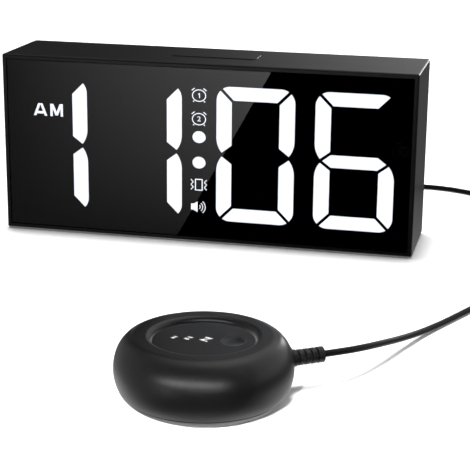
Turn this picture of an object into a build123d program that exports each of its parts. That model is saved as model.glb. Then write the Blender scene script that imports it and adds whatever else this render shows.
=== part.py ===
"""Bed shaker alarm clock: a mains LED clock, a round shaker puck and the cord between them.

Millimetres. X runs to the clock's right, Y to its rear and Z up. The pieces are drawn about the
middle of the clock's own footprint, and main() then moves them all back, so that the origin of the
finished part is the middle of the floor that clock and puck take up together.
"""
from build123d import *
import math
import os

# Clock case
CLOCK_W = 210.0
CLOCK_D = 47.0
CASE_H = 90.5
WALL = 2.2
BEZEL = 2.2
EDGE_R = 1.1
FIT = 0.2            # clearance round a piece that is set into another
FOOT_R = 5.0
FOOT_T = 1.2
FOOT_PROUD = 0.5
FOOT_INSET = 12.0

# Lens and display
LENS_SET = 0.4       # how far the lens lies behind the bezel
LENS_T = 2.0
DISPLAY_GAP = 0.3    # from the lens to the display behind it
LEDGE = 1.8
LEDGE_T = 2.0
REFLECTOR_T = 8.0
DIFFUSER_T = 2.5
WELL_WALL = 1.0      # step that the diffusers rest on
BOARD_T = 1.6
DIGIT_H = 68.2
DIGIT_GAP = 10.1     # between the two digits of a pair
ROW_LEFT = 0.5       # from the edge of the ledge's opening to the first digit
ROW_RIGHT = 6.3
COLON_SIDE = 8.9     # from the colon to the digit on each side
COLON_W = 6.6
COLON_H = 5.9
COLON_Z = 1.6        # the colon's middle above the digits' middle
COLON_STEP = 13.0
BAR_SIDE = 7.6       # width of an upright segment
BAR_END = 6.7        # height of the top and bottom segments
BAR_MID = 6.2        # height of the middle segment
MITRE = 1.6          # gap between two segments
CORNER_R = 7.0       # outer corner of a digit
WAIST_R = 12.2       # curve of an upright's outer side towards the digit's middle
WAIST_RISE = 8.6     # where that curve starts, above the middle
WAIST_SLOPE = 0.75   # rise of the slanted ends at the middle
ICON_W = 10.0
ICON_H = 9.4
ICON_Z = (29.4, 17.4, -16.2, -27.5)
NOON_W = 19.0
NOON_GAP = 3.2       # from the morning sign to the upright on its right
NOON_Z = 17.7
LED_W = 3.0
LED_H = 2.5
LED_T = 1.4

# Rear cover and what it carries
COVER_T = 2.5
COVER_SET = 0.8
POST_R = 3.2
SCREW_R = 1.2
SCREW_FIT = 0.05
HEAD_R = 2.4
HEAD_T = 1.4
SCREW_L = 9.0
HOLE_SPARE = 1.0     # depth left under a screw that runs in a standoff
STANDOFF = 9.2       # control board to cover
STANDOFF_R = 3.0
CONTROL_X0 = -40.0
CONTROL_X1 = 80.0
CONTROL_Z0 = 10.0
CONTROL_Z1 = 79.0
BOARD_MARGIN = 4.5   # board edge to screw centre
CLAMP_R = 2.5
CLAMP_INSET_X = 30.0
CLAMP_INSET_Z = 8.0
BUTTON_R = 3.5
BUTTON_GAP = 0.3
BUTTON_PROUD = 1.0
BUTTON_FLANGE = 1.4
FLANGE_T = 1.2
BUTTON_STEP = 19.0
BUTTON_X0 = -29.0
BUTTON_Z = 69.0
BUTTON_NAMES = ("time_set", "alarm_1", "alarm_2", "hour", "minute", "dimmer")
SWITCH_W = 6.0
SWITCH_T = 4.0
STEM_R = 1.6
STEM_FIT = 0.15
STEM_IN = 2.0        # how far a stem reaches into its switch at rest
BORE_DEPTH = 3.0
SLIDE_Z = 47.0
SLIDE_SWITCHES = {"mode": (32.0, 3.0), "volume": (60.0, 1.5)}
KNOB_W = 4.0
KNOB_H = 4.0
KNOB_PROUD = 1.2
KNOB_TONGUE = 1.6
SLIDE_BODY_H = 7.0
SLIDE_BODY_T = 4.4
SLIDE_END = 3.0
DOOR_W = 28.0
DOOR_H = 26.0
DOOR_X = 0.0
DOOR_Z = 27.0
DOOR_T = 1.8
BAY_DEPTH = 7.4
BAY_WALL = 1.4
COIN_R = 10.0
COIN_T = 3.2
CONTACT_T = 0.4
SPEAKER_R = 18.0
SPEAKER_T = 9.0
SPEAKER_INSET = 37.0 # from the case's side to the speaker's middle
SPEAKER_Z = 40.0
SEAT_WALL = 1.6
SEAT_H = 3.0
GRILLE_SLOT = 2.0
GRILLE_PITCH = 4.4
INLET_X = 36.0
JACK_X = 62.0
JACK_Z = 20.0
NOSE_R = 4.0
JACK_W = 11.0
INLET_BORE_R = 2.9
INLET_PIN_R = 1.0
PLUG_PIN_R = 1.75
PLUG_PIN_L = 11.0
RIBBON_W = 20.0
RIBBON_T = 1.0
RIBBON_Z = 18.5      # where it meets the display board
RIBBON_RISE = 12.0   # from there up to the control board

# Snooze bar on the top
SNOOZE_W = 44.0
SNOOZE_D = 15.0
SNOOZE_Y = 2.0
SNOOZE_PROUD = 0.4
SNOOZE_R = 3.0
SNOOZE_LIP = 1.5
SNOOZE_SWITCH_T = 3.5
SNOOZE_DROP = 2.4    # wall to switch, room for the press
SNOOZE_BOARD_D = 13.0
SNOOZE_BOSS_R = 2.5
SNOOZE_BOSS_GAP = 1.0

# Shaker puck
PUCK_X = 51.0
PUCK_Y = -219.5
PUCK_R = 33.4
PUCK_H = 26.0
PUCK_WIDE_Z = 13.6
PUCK_BASE_R = 24.0
PUCK_CREST_R = 25.0
PUCK_WALL = 2.2
PUCK_PART_Z = 4.2
SEAM_H = 0.5         # groove round the puck where its shells meet
SEAM_DEPTH = 0.4
PAD_R = 21.0
PAD_T = 0.8
DISC_R = 19.1
DISC_GAP = 0.4
DISC_Z = 24.0
DISC_T = 1.9
DISC_LIP = 2.0
RIM_R = 2.0          # rounded edge of the ring round the disc
DIMPLE_X = 10.7
DIMPLE_Y = 1.0
DIMPLE_R = 4.7
DIMPLE_DEPTH = 0.6
PUCK_POST_AT = 25.2
PUCK_POST_R = 2.8
PUCK_POST_ANGLES = (95.0, 215.0, 335.0)
PUCK_BOSS_H = 2.4
MOTOR_R = 6.0
MOTOR_L = 20.0
MOTOR_Z = 9.6
MOTOR_X0 = -15.0
SHAFT_R = 1.0
SHAFT_FIT = 0.05
SHAFT_OUT = 9.0
WEIGHT_R = 5.8
WEIGHT_L = 6.5
WEIGHT_GAP = 1.2
CLAMP_T = 1.2
CLAMP_W = 8.0
CLAMP_FOOT = 6.0
PUCK_BOARD_Z = 17.1
PUCK_BOARD_T = 1.2
PUCK_BOARD_W = 16.0
PUCK_BOARD_L = 40.0
PUCK_STEM_R = 2.0
PUCK_SWITCH_W = 7.0
PUCK_SWITCH_T = 2.6
PUCK_BORE_DEPTH = 2.1
RELIEF_ANGLE = 35.0
RELIEF_Z = 12.0
RELIEF_BOSS_R = 5.0
RELIEF_BOSS_OUT = 1.2
RELIEF_NECK_R = 2.8
RELIEF_FLANGE_R = 4.2
RELIEF_COLLAR_R = 3.3
RELIEF_COLLAR_L = 2.2
RELIEF_RIB_R = 3.1
RELIEF_CORE_R = 2.2
RELIEF_RIB = 1.5
RELIEF_GROOVE = 1.1
RELIEF_RIBS = 3
RELIEF_END_L = 2.4

# Cord
CORD_R = 1.35
COIL_X = 159.0
COIL_Y = -15.0
COIL_R = 20.7        # first half turn
COIL_GAP = 0.5       # between turns and between layers
COIL_HALVES = 6      # half turns in a layer
COIL_LAYERS = 4
COIL_HEADING = 57.0  # the way the cord runs where it enters the coil
COIL_LEAVE = 53.0    # turn past the last half turn before the cord leaves
CLIMB_SLOPE = 8.0    # degrees, at the middle of a climb
TIE_T = 0.8
TIE_W = 8.0
TIE_GAP = 0.35
PLUG_R = 4.4
PLUG_L = 17.0
PLUG_TAIL_L = 14.0
PLUG_GRIP_R = 5.0
PLUG_RIBS = 4
PLUG_RIB = 1.3
PLUG_GROOVE = 1.1
PLUG_TAIL_R = 3.5
PLUG_TAIL_END_R = 2.0
BEND_SHARE = 0.45    # share of a straight run that a bend may take up
RELIEF_RUN = 8.1     # straight runs at the ends of the route
COIL_IN_RUN = 16.2
COIL_OUT_RUN = 10.8
PLUG_RUN = 13.5

# The route of the cord where it isn't coiled; the ends come from the strain relief, the coil and the plug
LEAD_ROUTE = [
    (104.0, -177.4, 10.6), (109.9, -163.6, 8.0), (115.6, -147.8, 4.8), (121.7, -131.7, 2.3),
    (128.4, -117.0, 1.35), (135.1, -103.1, 1.35), (142.0, -88.6, 1.35), (149.4, -73.4, 1.35),
    (157.6, -57.6, 1.8)]
TAIL_ROUTE = [
    (172.0, 17.5, 8.2), (168.2, 33.5, 3.4), (165.0, 50.0, 1.35), (160.2, 67.0, 1.35),
    (151.6, 83.4, 1.35), (139.0, 97.4, 1.35), (124.2, 107.4, 1.35), (108.6, 113.8, 1.35),
    (93.4, 115.0, 1.35), (80.2, 108.4, 2.6), (70.6, 97.4, 8.0), (64.4, 83.6, 14.6)]

CASE_Z0 = FOOT_PROUD
CASE_Z1 = CASE_Z0 + CASE_H
MID_Z = (CASE_Z0 + CASE_Z1) / 2
FRONT_Y = -CLOCK_D / 2
REAR_Y = CLOCK_D / 2
LENS_Y0 = FRONT_Y + LENS_SET
LEDGE_Y0 = LENS_Y0 + LENS_T
LEDGE_Y1 = LEDGE_Y0 + LEDGE_T
DISPLAY_Y0 = LEDGE_Y0 + DISPLAY_GAP
DIFFUSER_Y1 = DISPLAY_Y0 + DIFFUSER_T
REFLECTOR_Y1 = LEDGE_Y0 + REFLECTOR_T
LED_BOARD_Y1 = REFLECTOR_Y1 + BOARD_T
COVER_Y1 = REAR_Y - COVER_SET
COVER_Y0 = COVER_Y1 - COVER_T
CONTROL_Y1 = COVER_Y0 - STANDOFF
CONTROL_Y0 = CONTROL_Y1 - BOARD_T
INNER_W = CLOCK_W - 2 * WALL
INNER_H = CASE_H - 2 * WALL
OPENING_W = INNER_W - 2 * (LEDGE + FIT)
OPENING_H = INNER_H - 2 * (LEDGE + FIT)
DIGIT_W = (OPENING_W - ROW_LEFT - ROW_RIGHT - 2 * (COLON_SIDE + DIGIT_GAP)) / 4
ROW_X0 = ROW_LEFT - OPENING_W / 2
COLON_X = ROW_X0 + 2 * DIGIT_W + DIGIT_GAP + COLON_SIDE
NOON_X = ROW_X0 + DIGIT_W - BAR_SIDE - NOON_GAP - NOON_W / 2
POST_X = INNER_W / 2 - POST_R
SPEAKER_X = SPEAKER_INSET - CLOCK_W / 2
POST_DZ = INNER_H / 2 - POST_R
TOP_IN = CASE_Z1 - WALL
SNOOZE_SWITCH_Z1 = TOP_IN - SNOOZE_DROP
SNOOZE_BOARD_Z1 = SNOOZE_SWITCH_Z1 - SNOOZE_SWITCH_T
SNOOZE_BOARD_Z0 = SNOOZE_BOARD_Z1 - BOARD_T
SNOOZE_BOSS_X = SNOOZE_W / 2 + SNOOZE_LIP + SNOOZE_BOSS_GAP + SNOOZE_BOSS_R
LIP_Z = DISC_Z - DISC_T
PUCK_FLOOR = PAD_T + PUCK_WALL
PUCK_POST_Z0 = PUCK_FLOOR + PUCK_BOSS_H
PUCK_SWITCH_Z0 = PUCK_BOARD_Z + PUCK_BOARD_T
RELIEF_IN = PUCK_R - PUCK_WALL - RELIEF_BOSS_OUT
RELIEF_OUT = PUCK_R + RELIEF_BOSS_OUT
RELIEF_END = (RELIEF_OUT + RELIEF_COLLAR_L + RELIEF_RIBS * (RELIEF_RIB + RELIEF_GROOVE)
              + RELIEF_GROOVE + RELIEF_END_L)
CORD_D = 2 * CORD_R
COIL_STEP = CORD_D + COIL_GAP
COIL_Z0 = TIE_T + TIE_GAP + CORD_R
PLUG_Y0 = COVER_Y1 + FIT
PLUG_Y1 = PLUG_Y0 + PLUG_L
PLUG_END = PLUG_Y1 + PLUG_TAIL_L
REARMOST = max(REAR_Y, COVER_Y1 + max(BUTTON_PROUD, KNOB_PROUD))
FRAME_Y = -(PUCK_Y - PUCK_R + REARMOST) / 2


# Basic solids

def block(x0, x1, y0, y1, z0, z1):
    """A box between two corners."""
    return Pos((x0 + x1) / 2, (y0 + y1) / 2, (z0 + z1) / 2) * Box(x1 - x0, y1 - y0, z1 - z0)


def panel(width, height, y0, y1, x=0.0, z=MID_Z):
    """A plate that faces the front, with its middle at x and z."""
    return block(x - width / 2, x + width / 2, y0, y1, z - height / 2, z + height / 2)


def rod_y(x, z, y0, y1, radius):
    """A round bar along Y."""
    return Pos(x, (y0 + y1) / 2, z) * Rot(90, 0, 0) * Cylinder(radius, y1 - y0)


def rod_z(x, y, z0, z1, radius):
    """A round bar along Z."""
    return Pos(x, y, (z0 + z1) / 2) * Cylinder(radius, z1 - z0)


def front_plane(y):
    """A drawing plane that faces the front, so its x and y are the clock's X and Z."""
    return Plane(origin=(0, y, 0), x_dir=(1, 0, 0), z_dir=(0, -1, 0))


def corner_places(x, dz):
    """The four corners about the middle of the case."""
    return [(sx * x, MID_Z + sz * dz) for sx in (-1, 1) for sz in (-1, 1)]


def pan_screw_y(x, z, seat_y, way, length):
    """A screw along Y with its head's underside at seat_y; way is +1 where the head is at the rear."""
    shank = rod_y(x, z, *sorted((seat_y, seat_y - way * length)), SCREW_R)
    head = rod_y(x, z, *sorted((seat_y, seat_y + way * HEAD_T)), HEAD_R)
    return shank + head


def pan_screw_z(x, y, seat_z, way, length):
    """A screw along Z with its head's underside at seat_z; way is +1 where the head is on top."""
    shank = rod_z(x, y, *sorted((seat_z, seat_z - way * length)), SCREW_R)
    head = rod_z(x, y, *sorted((seat_z, seat_z + way * HEAD_T)), HEAD_R)
    return shank + head


# Display

def segment_points():
    """Each segment's outline in the digit's own frame, before its outer side is rounded."""
    w, h, mid = DIGIT_W, DIGIT_H, DIGIT_H / 2
    half_gap, skew = MITRE / math.sqrt(2), BAR_SIDE - BAR_END
    top = [(half_gap + skew, h), (w - half_gap - skew, h), (w - BAR_SIDE - half_gap, h - BAR_END),
           (BAR_SIDE + half_gap, h - BAR_END)]
    waist = mid + BAR_MID / 2 + MITRE
    upper = [(0, h + skew - half_gap), (BAR_SIDE, h - BAR_END - half_gap), (BAR_SIDE, waist),
             (0, waist - WAIST_SLOPE * BAR_SIDE)]
    reach = BAR_SIDE + MITRE * (math.hypot(1, WAIST_SLOPE) - 1) / WAIST_SLOPE
    tip = reach - BAR_MID / 2 / WAIST_SLOPE
    middle = [(tip, mid), (reach, mid + BAR_MID / 2), (w - reach, mid + BAR_MID / 2),
              (w - tip, mid), (w - reach, mid - BAR_MID / 2), (reach, mid - BAR_MID / 2)]

    def across(points):
        return [(w - x, y) for x, y in points]

    def down(points):
        return [(x, h - y) for x, y in points]

    return {"a": top, "b": across(upper), "c": down(across(upper)), "d": down(top),
            "e": down(upper), "f": upper, "g": middle}


def digit_outline(bar):
    """The rounded form that a segment is cut to; an upright is also rounded towards the waist."""
    outline = Pos(DIGIT_W / 2, DIGIT_H / 2) * RectangleRounded(DIGIT_W, DIGIT_H, CORNER_R)
    shift = {"b": 1, "f": 1, "c": -1, "e": -1}.get(bar)
    if shift:
        middle = DIGIT_H / 2 + shift * (DIGIT_H / 2 - WAIST_R + WAIST_RISE)
        outline &= Pos(DIGIT_W / 2, middle) * RectangleRounded(DIGIT_W, DIGIT_H, WAIST_R)
    return outline


def digit_lefts():
    """The left edge of each digit."""
    pitch, right = DIGIT_W + DIGIT_GAP, COLON_X + COLON_SIDE
    return [ROW_X0, ROW_X0 + pitch, right, right + pitch]


# The first digit shows only 1 or 2, so it has no upper left segment; the hour shown is 11:06
DIGIT_BARS = ("abcdeg", "abcdefg", "abcdefg", "abcdefg")
LIT_BARS = ("bc", "bc", "abcdef", "acdefg")


def bar_face(digit, bar, grow=0.0):
    """One segment as a face in the clock's X and Z, grown or shrunk all round."""
    left, base = digit_lefts()[digit], MID_Z - DIGIT_H / 2
    face = make_face(Polyline(segment_points()[bar], close=True)) & digit_outline(bar)
    face = Pos(left, base) * face.face()
    return offset(face, grow) if grow else face


def colon_faces(grow=0.0):
    dot = Ellipse(COLON_W / 2 + grow, COLON_H / 2 + grow)
    return [Pos(COLON_X, MID_Z + COLON_Z + side * COLON_STEP / 2) * dot for side in (-1, 1)]


def icon_faces(grow=0.0):
    """The windows of the four small signs and of the morning sign."""
    signs = [Pos(COLON_X, MID_Z + z) * Rectangle(ICON_W + 2 * grow, ICON_H + 2 * grow) for z in ICON_Z]
    return signs + [Pos(NOON_X, MID_Z + NOON_Z) * Rectangle(NOON_W + 2 * grow, ICON_H + 2 * grow)]


def window_faces(grow):
    """Every light window of the display."""
    bars = [bar_face(i, bar, grow) for i, bars in enumerate(DIGIT_BARS) for bar in bars]
    return bars + colon_faces(grow) + icon_faces(grow)


def diffusers(faces):
    """Windows that fill the front of their light wells."""
    plane = front_plane(DIFFUSER_Y1)
    return Compound([extrude(plane * face, DIFFUSER_T).solid() for face in faces])


def display_reflector():
    """Black moulding with a light well behind each window, seated on the housing's ledge."""
    nose = panel(OPENING_W, OPENING_H, DISPLAY_Y0, LEDGE_Y1)
    body = panel(INNER_W - 2 * FIT, INNER_H - 2 * FIT, LEDGE_Y1, REFLECTOR_Y1)
    notch = POST_R + FIT
    for x, z in corner_places(POST_X, POST_DZ):
        body -= panel(2 * notch, 2 * notch, LEDGE_Y1, REFLECTOR_Y1, x, z)
    reflector = nose + body
    pocket, well = front_plane(DIFFUSER_Y1), front_plane(REFLECTOR_Y1)
    reflector -= [extrude(pocket * face, DIFFUSER_T) for face in window_faces(FIT / 2)]
    reflector -= [extrude(well * face, REFLECTOR_Y1 - DIFFUSER_Y1) for face in window_faces(-WELL_WALL)]
    return reflector


def lit_digit(digit):
    return diffusers([bar_face(digit, bar) for bar in LIT_BARS[digit]])


def unlit_segments():
    return diffusers([bar_face(i, bar) for i in range(4) for bar in DIGIT_BARS[i]
                      if bar not in LIT_BARS[i]])


def leds():
    """One light source on the board behind each window."""
    centres = [face.center() for face in window_faces(0.0)]
    return Compound([panel(LED_W, LED_H, REFLECTOR_Y1 - LED_T, REFLECTOR_Y1, c.X, c.Y).solid()
                     for c in centres])


def led_board():
    board = panel(INNER_W - 2 * FIT, INNER_H - 2 * FIT, REFLECTOR_Y1, LED_BOARD_Y1)
    notch = POST_R + FIT
    for x, z in corner_places(POST_X, POST_DZ):
        board -= panel(2 * notch, 2 * notch, REFLECTOR_Y1, LED_BOARD_Y1, x, z)
    return board


# Case

def front_housing():
    """The box of the case, open at the rear, with a ledge behind the bezel for lens and display."""
    body = block(-CLOCK_W / 2, CLOCK_W / 2, FRONT_Y, REAR_Y, CASE_Z0, CASE_Z1)
    body = fillet(body.edges(), EDGE_R)
    body -= panel(CLOCK_W - 2 * BEZEL, CASE_H - 2 * BEZEL, FRONT_Y, LEDGE_Y0)
    body -= panel(INNER_W - 2 * LEDGE, INNER_H - 2 * LEDGE, LEDGE_Y0, LEDGE_Y1)
    body -= panel(INNER_W, INNER_H, LEDGE_Y1, REAR_Y)
    for x, z in corner_places(POST_X, POST_DZ):
        body += rod_y(x, z, LEDGE_Y0, COVER_Y0, POST_R) & panel(INNER_W, INNER_H, LEDGE_Y1, REAR_Y)
        body -= rod_y(x, z, COVER_Y0 - SCREW_L, COVER_Y0, SCREW_R + SCREW_FIT)
    for x in (-SNOOZE_BOSS_X, SNOOZE_BOSS_X):
        body += rod_z(x, SNOOZE_Y, SNOOZE_BOARD_Z1, TOP_IN, SNOOZE_BOSS_R)
        body -= rod_z(x, SNOOZE_Y, SNOOZE_BOARD_Z1, TOP_IN, SCREW_R + SCREW_FIT)
    body -= snooze_prism(BUTTON_GAP, TOP_IN, CASE_Z1)
    for x, y in foot_places():
        body -= rod_z(x, y, CASE_Z0, FOOT_T, FOOT_R + FIT)
    return body


def snooze_prism(grow, z0, z1):
    outline = RectangleRounded(SNOOZE_W + 2 * grow, SNOOZE_D + 2 * grow, SNOOZE_R + grow)
    return extrude(Pos(0, SNOOZE_Y, z0) * outline, z1 - z0)


def foot_places():
    x, y = CLOCK_W / 2 - FOOT_INSET, CLOCK_D / 2 - FOOT_INSET
    return [(sx * x, sy * y) for sx in (-1, 1) for sy in (-1, 1)]


def rubber_feet():
    return Compound([rod_z(x, y, 0, FOOT_T, FOOT_R).solid() for x, y in foot_places()])


def front_lens():
    lens = panel(INNER_W - 2 * FIT, INNER_H - 2 * FIT, LENS_Y0, LEDGE_Y0)
    return chamfer(lens.faces().sort_by(Axis.Y)[0].edges(), FIT)


def button_places():
    return [BUTTON_X0 + i * BUTTON_STEP for i in range(len(BUTTON_NAMES))]


def control_screw_places():
    xs = (CONTROL_X0 + BOARD_MARGIN, CONTROL_X1 - BOARD_MARGIN)
    zs = (CONTROL_Z0 + BOARD_MARGIN, CONTROL_Z1 - BOARD_MARGIN)
    return [(x, z) for x in xs for z in zs]


def grille_slots():
    """Slots across the speaker, shorter towards its edge."""
    reach = SPEAKER_R - SEAT_WALL - GRILLE_SLOT
    count = int(reach // GRILLE_PITCH)
    slots = []
    for i in range(-count, count + 1):
        half = math.sqrt(reach ** 2 - (i * GRILLE_PITCH) ** 2)
        outline = SlotOverall(2 * half + GRILLE_SLOT, GRILLE_SLOT)
        place = Pos(SPEAKER_X, SPEAKER_Z + i * GRILLE_PITCH)
        slots.append(extrude(front_plane(COVER_Y1) * place * outline, COVER_T))
    return slots


def bay_box(grow):
    """The battery bay's inside, or with grow its outside."""
    return panel(DOOR_W - 2 * BAY_WALL + 2 * grow, DOOR_H - 2 * BAY_WALL + 2 * grow,
                 COVER_Y1 - BAY_DEPTH - grow, COVER_Y0, DOOR_X, DOOR_Z)


def rear_cover():
    """Back plate with its bosses, battery bay, speaker seat and every opening for controls and leads."""
    cover = panel(INNER_W - 2 * FIT, INNER_H - 2 * FIT, COVER_Y0, COVER_Y1)
    cover += bay_box(BAY_WALL)
    for x, z in control_screw_places():
        cover += rod_y(x, z, CONTROL_Y1, COVER_Y0, STANDOFF_R)
    for x, z in corner_places(INNER_W / 2 - CLAMP_INSET_X, INNER_H / 2 - CLAMP_INSET_Z):
        if x < CONTROL_X0 - CLAMP_R:
            cover += rod_y(x, z, LED_BOARD_Y1, COVER_Y0, CLAMP_R)
    for z in (MID_Z - INNER_H / 2 + CLAMP_INSET_Z, MID_Z + INNER_H / 2 - CLAMP_INSET_Z):
        cover += rod_y(CONTROL_X1 + 2 * CLAMP_R, z, LED_BOARD_Y1, COVER_Y0, CLAMP_R)
    seat = rod_y(SPEAKER_X, SPEAKER_Z, COVER_Y0 - SEAT_H, COVER_Y0, SPEAKER_R + FIT + SEAT_WALL)
    cover += seat - rod_y(SPEAKER_X, SPEAKER_Z, COVER_Y0 - SEAT_H, COVER_Y0, SPEAKER_R + FIT)
    cover -= grille_slots()
    cover -= bay_box(0.0)
    cover -= panel(DOOR_W, DOOR_H, COVER_Y1 - DOOR_T, COVER_Y1, DOOR_X, DOOR_Z)
    cover -= panel(DOOR_W - 2 * BAY_WALL, DOOR_H - 2 * BAY_WALL, COVER_Y0, COVER_Y1, DOOR_X, DOOR_Z)
    for x, z in control_screw_places():
        cover -= rod_y(x, z, CONTROL_Y1, COVER_Y0, SCREW_R + SCREW_FIT)
    for x, z in corner_places(POST_X, POST_DZ):
        cover -= rod_y(x, z, COVER_Y0, COVER_Y1, SCREW_R + SCREW_FIT)
        cover -= rod_y(x, z, COVER_Y1 - HEAD_T, COVER_Y1, HEAD_R + FIT)
    for x in button_places():
        cover -= rod_y(x, BUTTON_Z, COVER_Y0, COVER_Y1, BUTTON_R + BUTTON_GAP)
    for x, travel in SLIDE_SWITCHES.values():
        cover -= panel(KNOB_W + 2 * (travel + BUTTON_GAP), KNOB_H + 2 * BUTTON_GAP,
                       COVER_Y0, COVER_Y1, x, SLIDE_Z)
    for x in (INLET_X, JACK_X):
        cover -= rod_y(x, JACK_Z, COVER_Y0, COVER_Y1, NOSE_R + FIT)
    return cover


def cover_screws():
    return Compound([pan_screw_y(x, z, COVER_Y1 - HEAD_T, 1, SCREW_L).solid()
                     for x, z in corner_places(POST_X, POST_DZ)])


# Controls

def control_board():
    board = block(CONTROL_X0, CONTROL_X1, CONTROL_Y0, CONTROL_Y1, CONTROL_Z0, CONTROL_Z1)
    for x, z in control_screw_places():
        board -= rod_y(x, z, CONTROL_Y0, CONTROL_Y1, SCREW_R + SCREW_FIT)
    return board


def control_board_screws():
    length = BOARD_T + STANDOFF - HOLE_SPARE
    return Compound([pan_screw_y(x, z, CONTROL_Y0, -1, length).solid() for x, z in control_screw_places()])


def press_button(x):
    """A round cap whose flange is stopped by the cover, with a stem that works its switch."""
    top = CONTROL_Y1 + SWITCH_T
    cap = rod_y(x, BUTTON_Z, COVER_Y0, COVER_Y1 + BUTTON_PROUD, BUTTON_R)
    cap = fillet(cap.edges().sort_by(Axis.Y)[-1], BUTTON_PROUD / 2)
    flange = rod_y(x, BUTTON_Z, COVER_Y0 - FLANGE_T, COVER_Y0, BUTTON_R + BUTTON_FLANGE)
    stem = rod_y(x, BUTTON_Z, top - STEM_IN, COVER_Y0 - FLANGE_T, STEM_R)
    return cap + flange + stem


def button_switches():
    """The push switches on the control board, each open where the stem goes in."""
    top = CONTROL_Y1 + SWITCH_T
    bodies = [panel(SWITCH_W, SWITCH_W, CONTROL_Y1, top, x, BUTTON_Z)
              - rod_y(x, BUTTON_Z, top - BORE_DEPTH, top, STEM_R + STEM_FIT) for x in button_places()]
    return Compound([body.solid() for body in bodies])


def slide_body(x, travel):
    """Slide switch with the slot that its knob's tongue runs in."""
    top = CONTROL_Y1 + SLIDE_BODY_T
    width = KNOB_TONGUE + 2 * (travel + SLIDE_END)
    body = panel(width, SLIDE_BODY_H, CONTROL_Y1, top, x, SLIDE_Z)
    return body - panel(KNOB_TONGUE + 2 * (travel + BUTTON_GAP), KNOB_TONGUE + 2 * STEM_FIT,
                        top - BORE_DEPTH, top, x, SLIDE_Z)


def slide_knob(x, travel):
    """Knob in the cover's slot, with a flange behind the cover and a tongue in the switch."""
    top = CONTROL_Y1 + SLIDE_BODY_T
    grip = panel(KNOB_W, KNOB_H, COVER_Y0, COVER_Y1 + KNOB_PROUD, x, SLIDE_Z)
    for i in (-1, 0, 1):
        grip -= panel(KNOB_W / 8, KNOB_H, COVER_Y1 + KNOB_PROUD / 2, COVER_Y1 + KNOB_PROUD,
                      x + i * KNOB_W / 4, SLIDE_Z)
    flange = panel(KNOB_W + 2 * (travel + BUTTON_FLANGE), KNOB_H + 2 * BUTTON_FLANGE,
                   COVER_Y0 - FLANGE_T, COVER_Y0, x, SLIDE_Z)
    tongue = panel(KNOB_TONGUE, KNOB_TONGUE, top - STEM_IN, COVER_Y0 - FLANGE_T, x, SLIDE_Z)
    return grip + flange + tongue


def battery_door():
    """Flush door over the backup cell, with a finger notch and a tongue into the bay."""
    door = panel(DOOR_W - 2 * FIT, DOOR_H - 2 * FIT, COVER_Y1 - DOOR_T, COVER_Y1, DOOR_X, DOOR_Z)
    inside = DOOR_W - 2 * (BAY_WALL + 2 * FIT)
    tongue = panel(inside, BAY_WALL, COVER_Y1 - DOOR_T - BAY_WALL, COVER_Y1 - DOOR_T,
                   DOOR_X, DOOR_Z + DOOR_H / 2 - 2 * BAY_WALL)
    notch = Pos(DOOR_X, COVER_Y1 + BAY_WALL, DOOR_Z + DOOR_H / 4) * Rot(0, 90, 0)
    return door + tongue - notch * Cylinder(2 * BAY_WALL, DOOR_W / 4)


def battery_contact():
    """Sprung strip on the bay's floor under the cell."""
    floor = COVER_Y1 - BAY_DEPTH
    strip = panel(2 * COIN_R, COIN_R / 2, floor, floor + CONTACT_T, DOOR_X, DOOR_Z)
    return strip + rod_y(DOOR_X, DOOR_Z, floor, floor + CONTACT_T, COIN_R / 2)


def coin_cell():
    face = COVER_Y1 - BAY_DEPTH + CONTACT_T
    cell = rod_y(DOOR_X, DOOR_Z, face, face + COIN_T, COIN_R)
    return fillet(cell.edges(), COIN_T / 8)


def speaker():
    """Small loudspeaker: frame, cone and magnet turned as one piece."""
    back = COVER_Y0 - SPEAKER_T
    frame = rod_y(SPEAKER_X, SPEAKER_Z, COVER_Y0 - SEAT_H / 2, COVER_Y0, SPEAKER_R)
    basket = Pos(SPEAKER_X, COVER_Y0 - SPEAKER_T / 2, SPEAKER_Z) * Rot(-90, 0, 0)
    frame += basket * Cone(SPEAKER_R / 2, SPEAKER_R, SPEAKER_T - SEAT_H)
    frame += rod_y(SPEAKER_X, SPEAKER_Z, back, COVER_Y0 - SEAT_H, SPEAKER_R / 2)
    dish = Pos(SPEAKER_X, COVER_Y0, SPEAKER_Z) * Sphere(SPEAKER_R / 2)
    return frame - dish


def inlet_body(x, bore_r, depth):
    """A socket on the control board with its round nose in the cover."""
    body = panel(JACK_W, JACK_W, CONTROL_Y1, COVER_Y0, x, JACK_Z)
    nose = rod_y(x, JACK_Z, COVER_Y0, COVER_Y1, NOSE_R)
    return body + nose - rod_y(x, JACK_Z, COVER_Y1 - depth, COVER_Y1, bore_r)


def dc_inlet():
    depth = COVER_T + STANDOFF - WALL
    socket = inlet_body(INLET_X, INLET_BORE_R, depth)
    return socket + rod_y(INLET_X, JACK_Z, COVER_Y1 - depth, COVER_Y1 - COVER_T, INLET_PIN_R)


def shaker_jack():
    return inlet_body(JACK_X, PLUG_PIN_R + SCREW_FIT, PLUG_PIN_L - FIT)


def ribbon_cable():
    """Flat lead from the control board down and forward to the display board."""
    x0 = (CONTROL_X0 + CONTROL_X1 - RIBBON_W) / 2
    x1, mid, high = x0 + RIBBON_W, (LED_BOARD_Y1 + CONTROL_Y0) / 2, RIBBON_Z + RIBBON_RISE
    front = block(x0, x1, LED_BOARD_Y1, mid, RIBBON_Z, RIBBON_Z + RIBBON_T)
    drop = block(x0, x1, mid - RIBBON_T, mid, RIBBON_Z, high)
    rear = block(x0, x1, mid - RIBBON_T, CONTROL_Y0, high, high + RIBBON_T)
    return front + drop + rear


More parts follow.
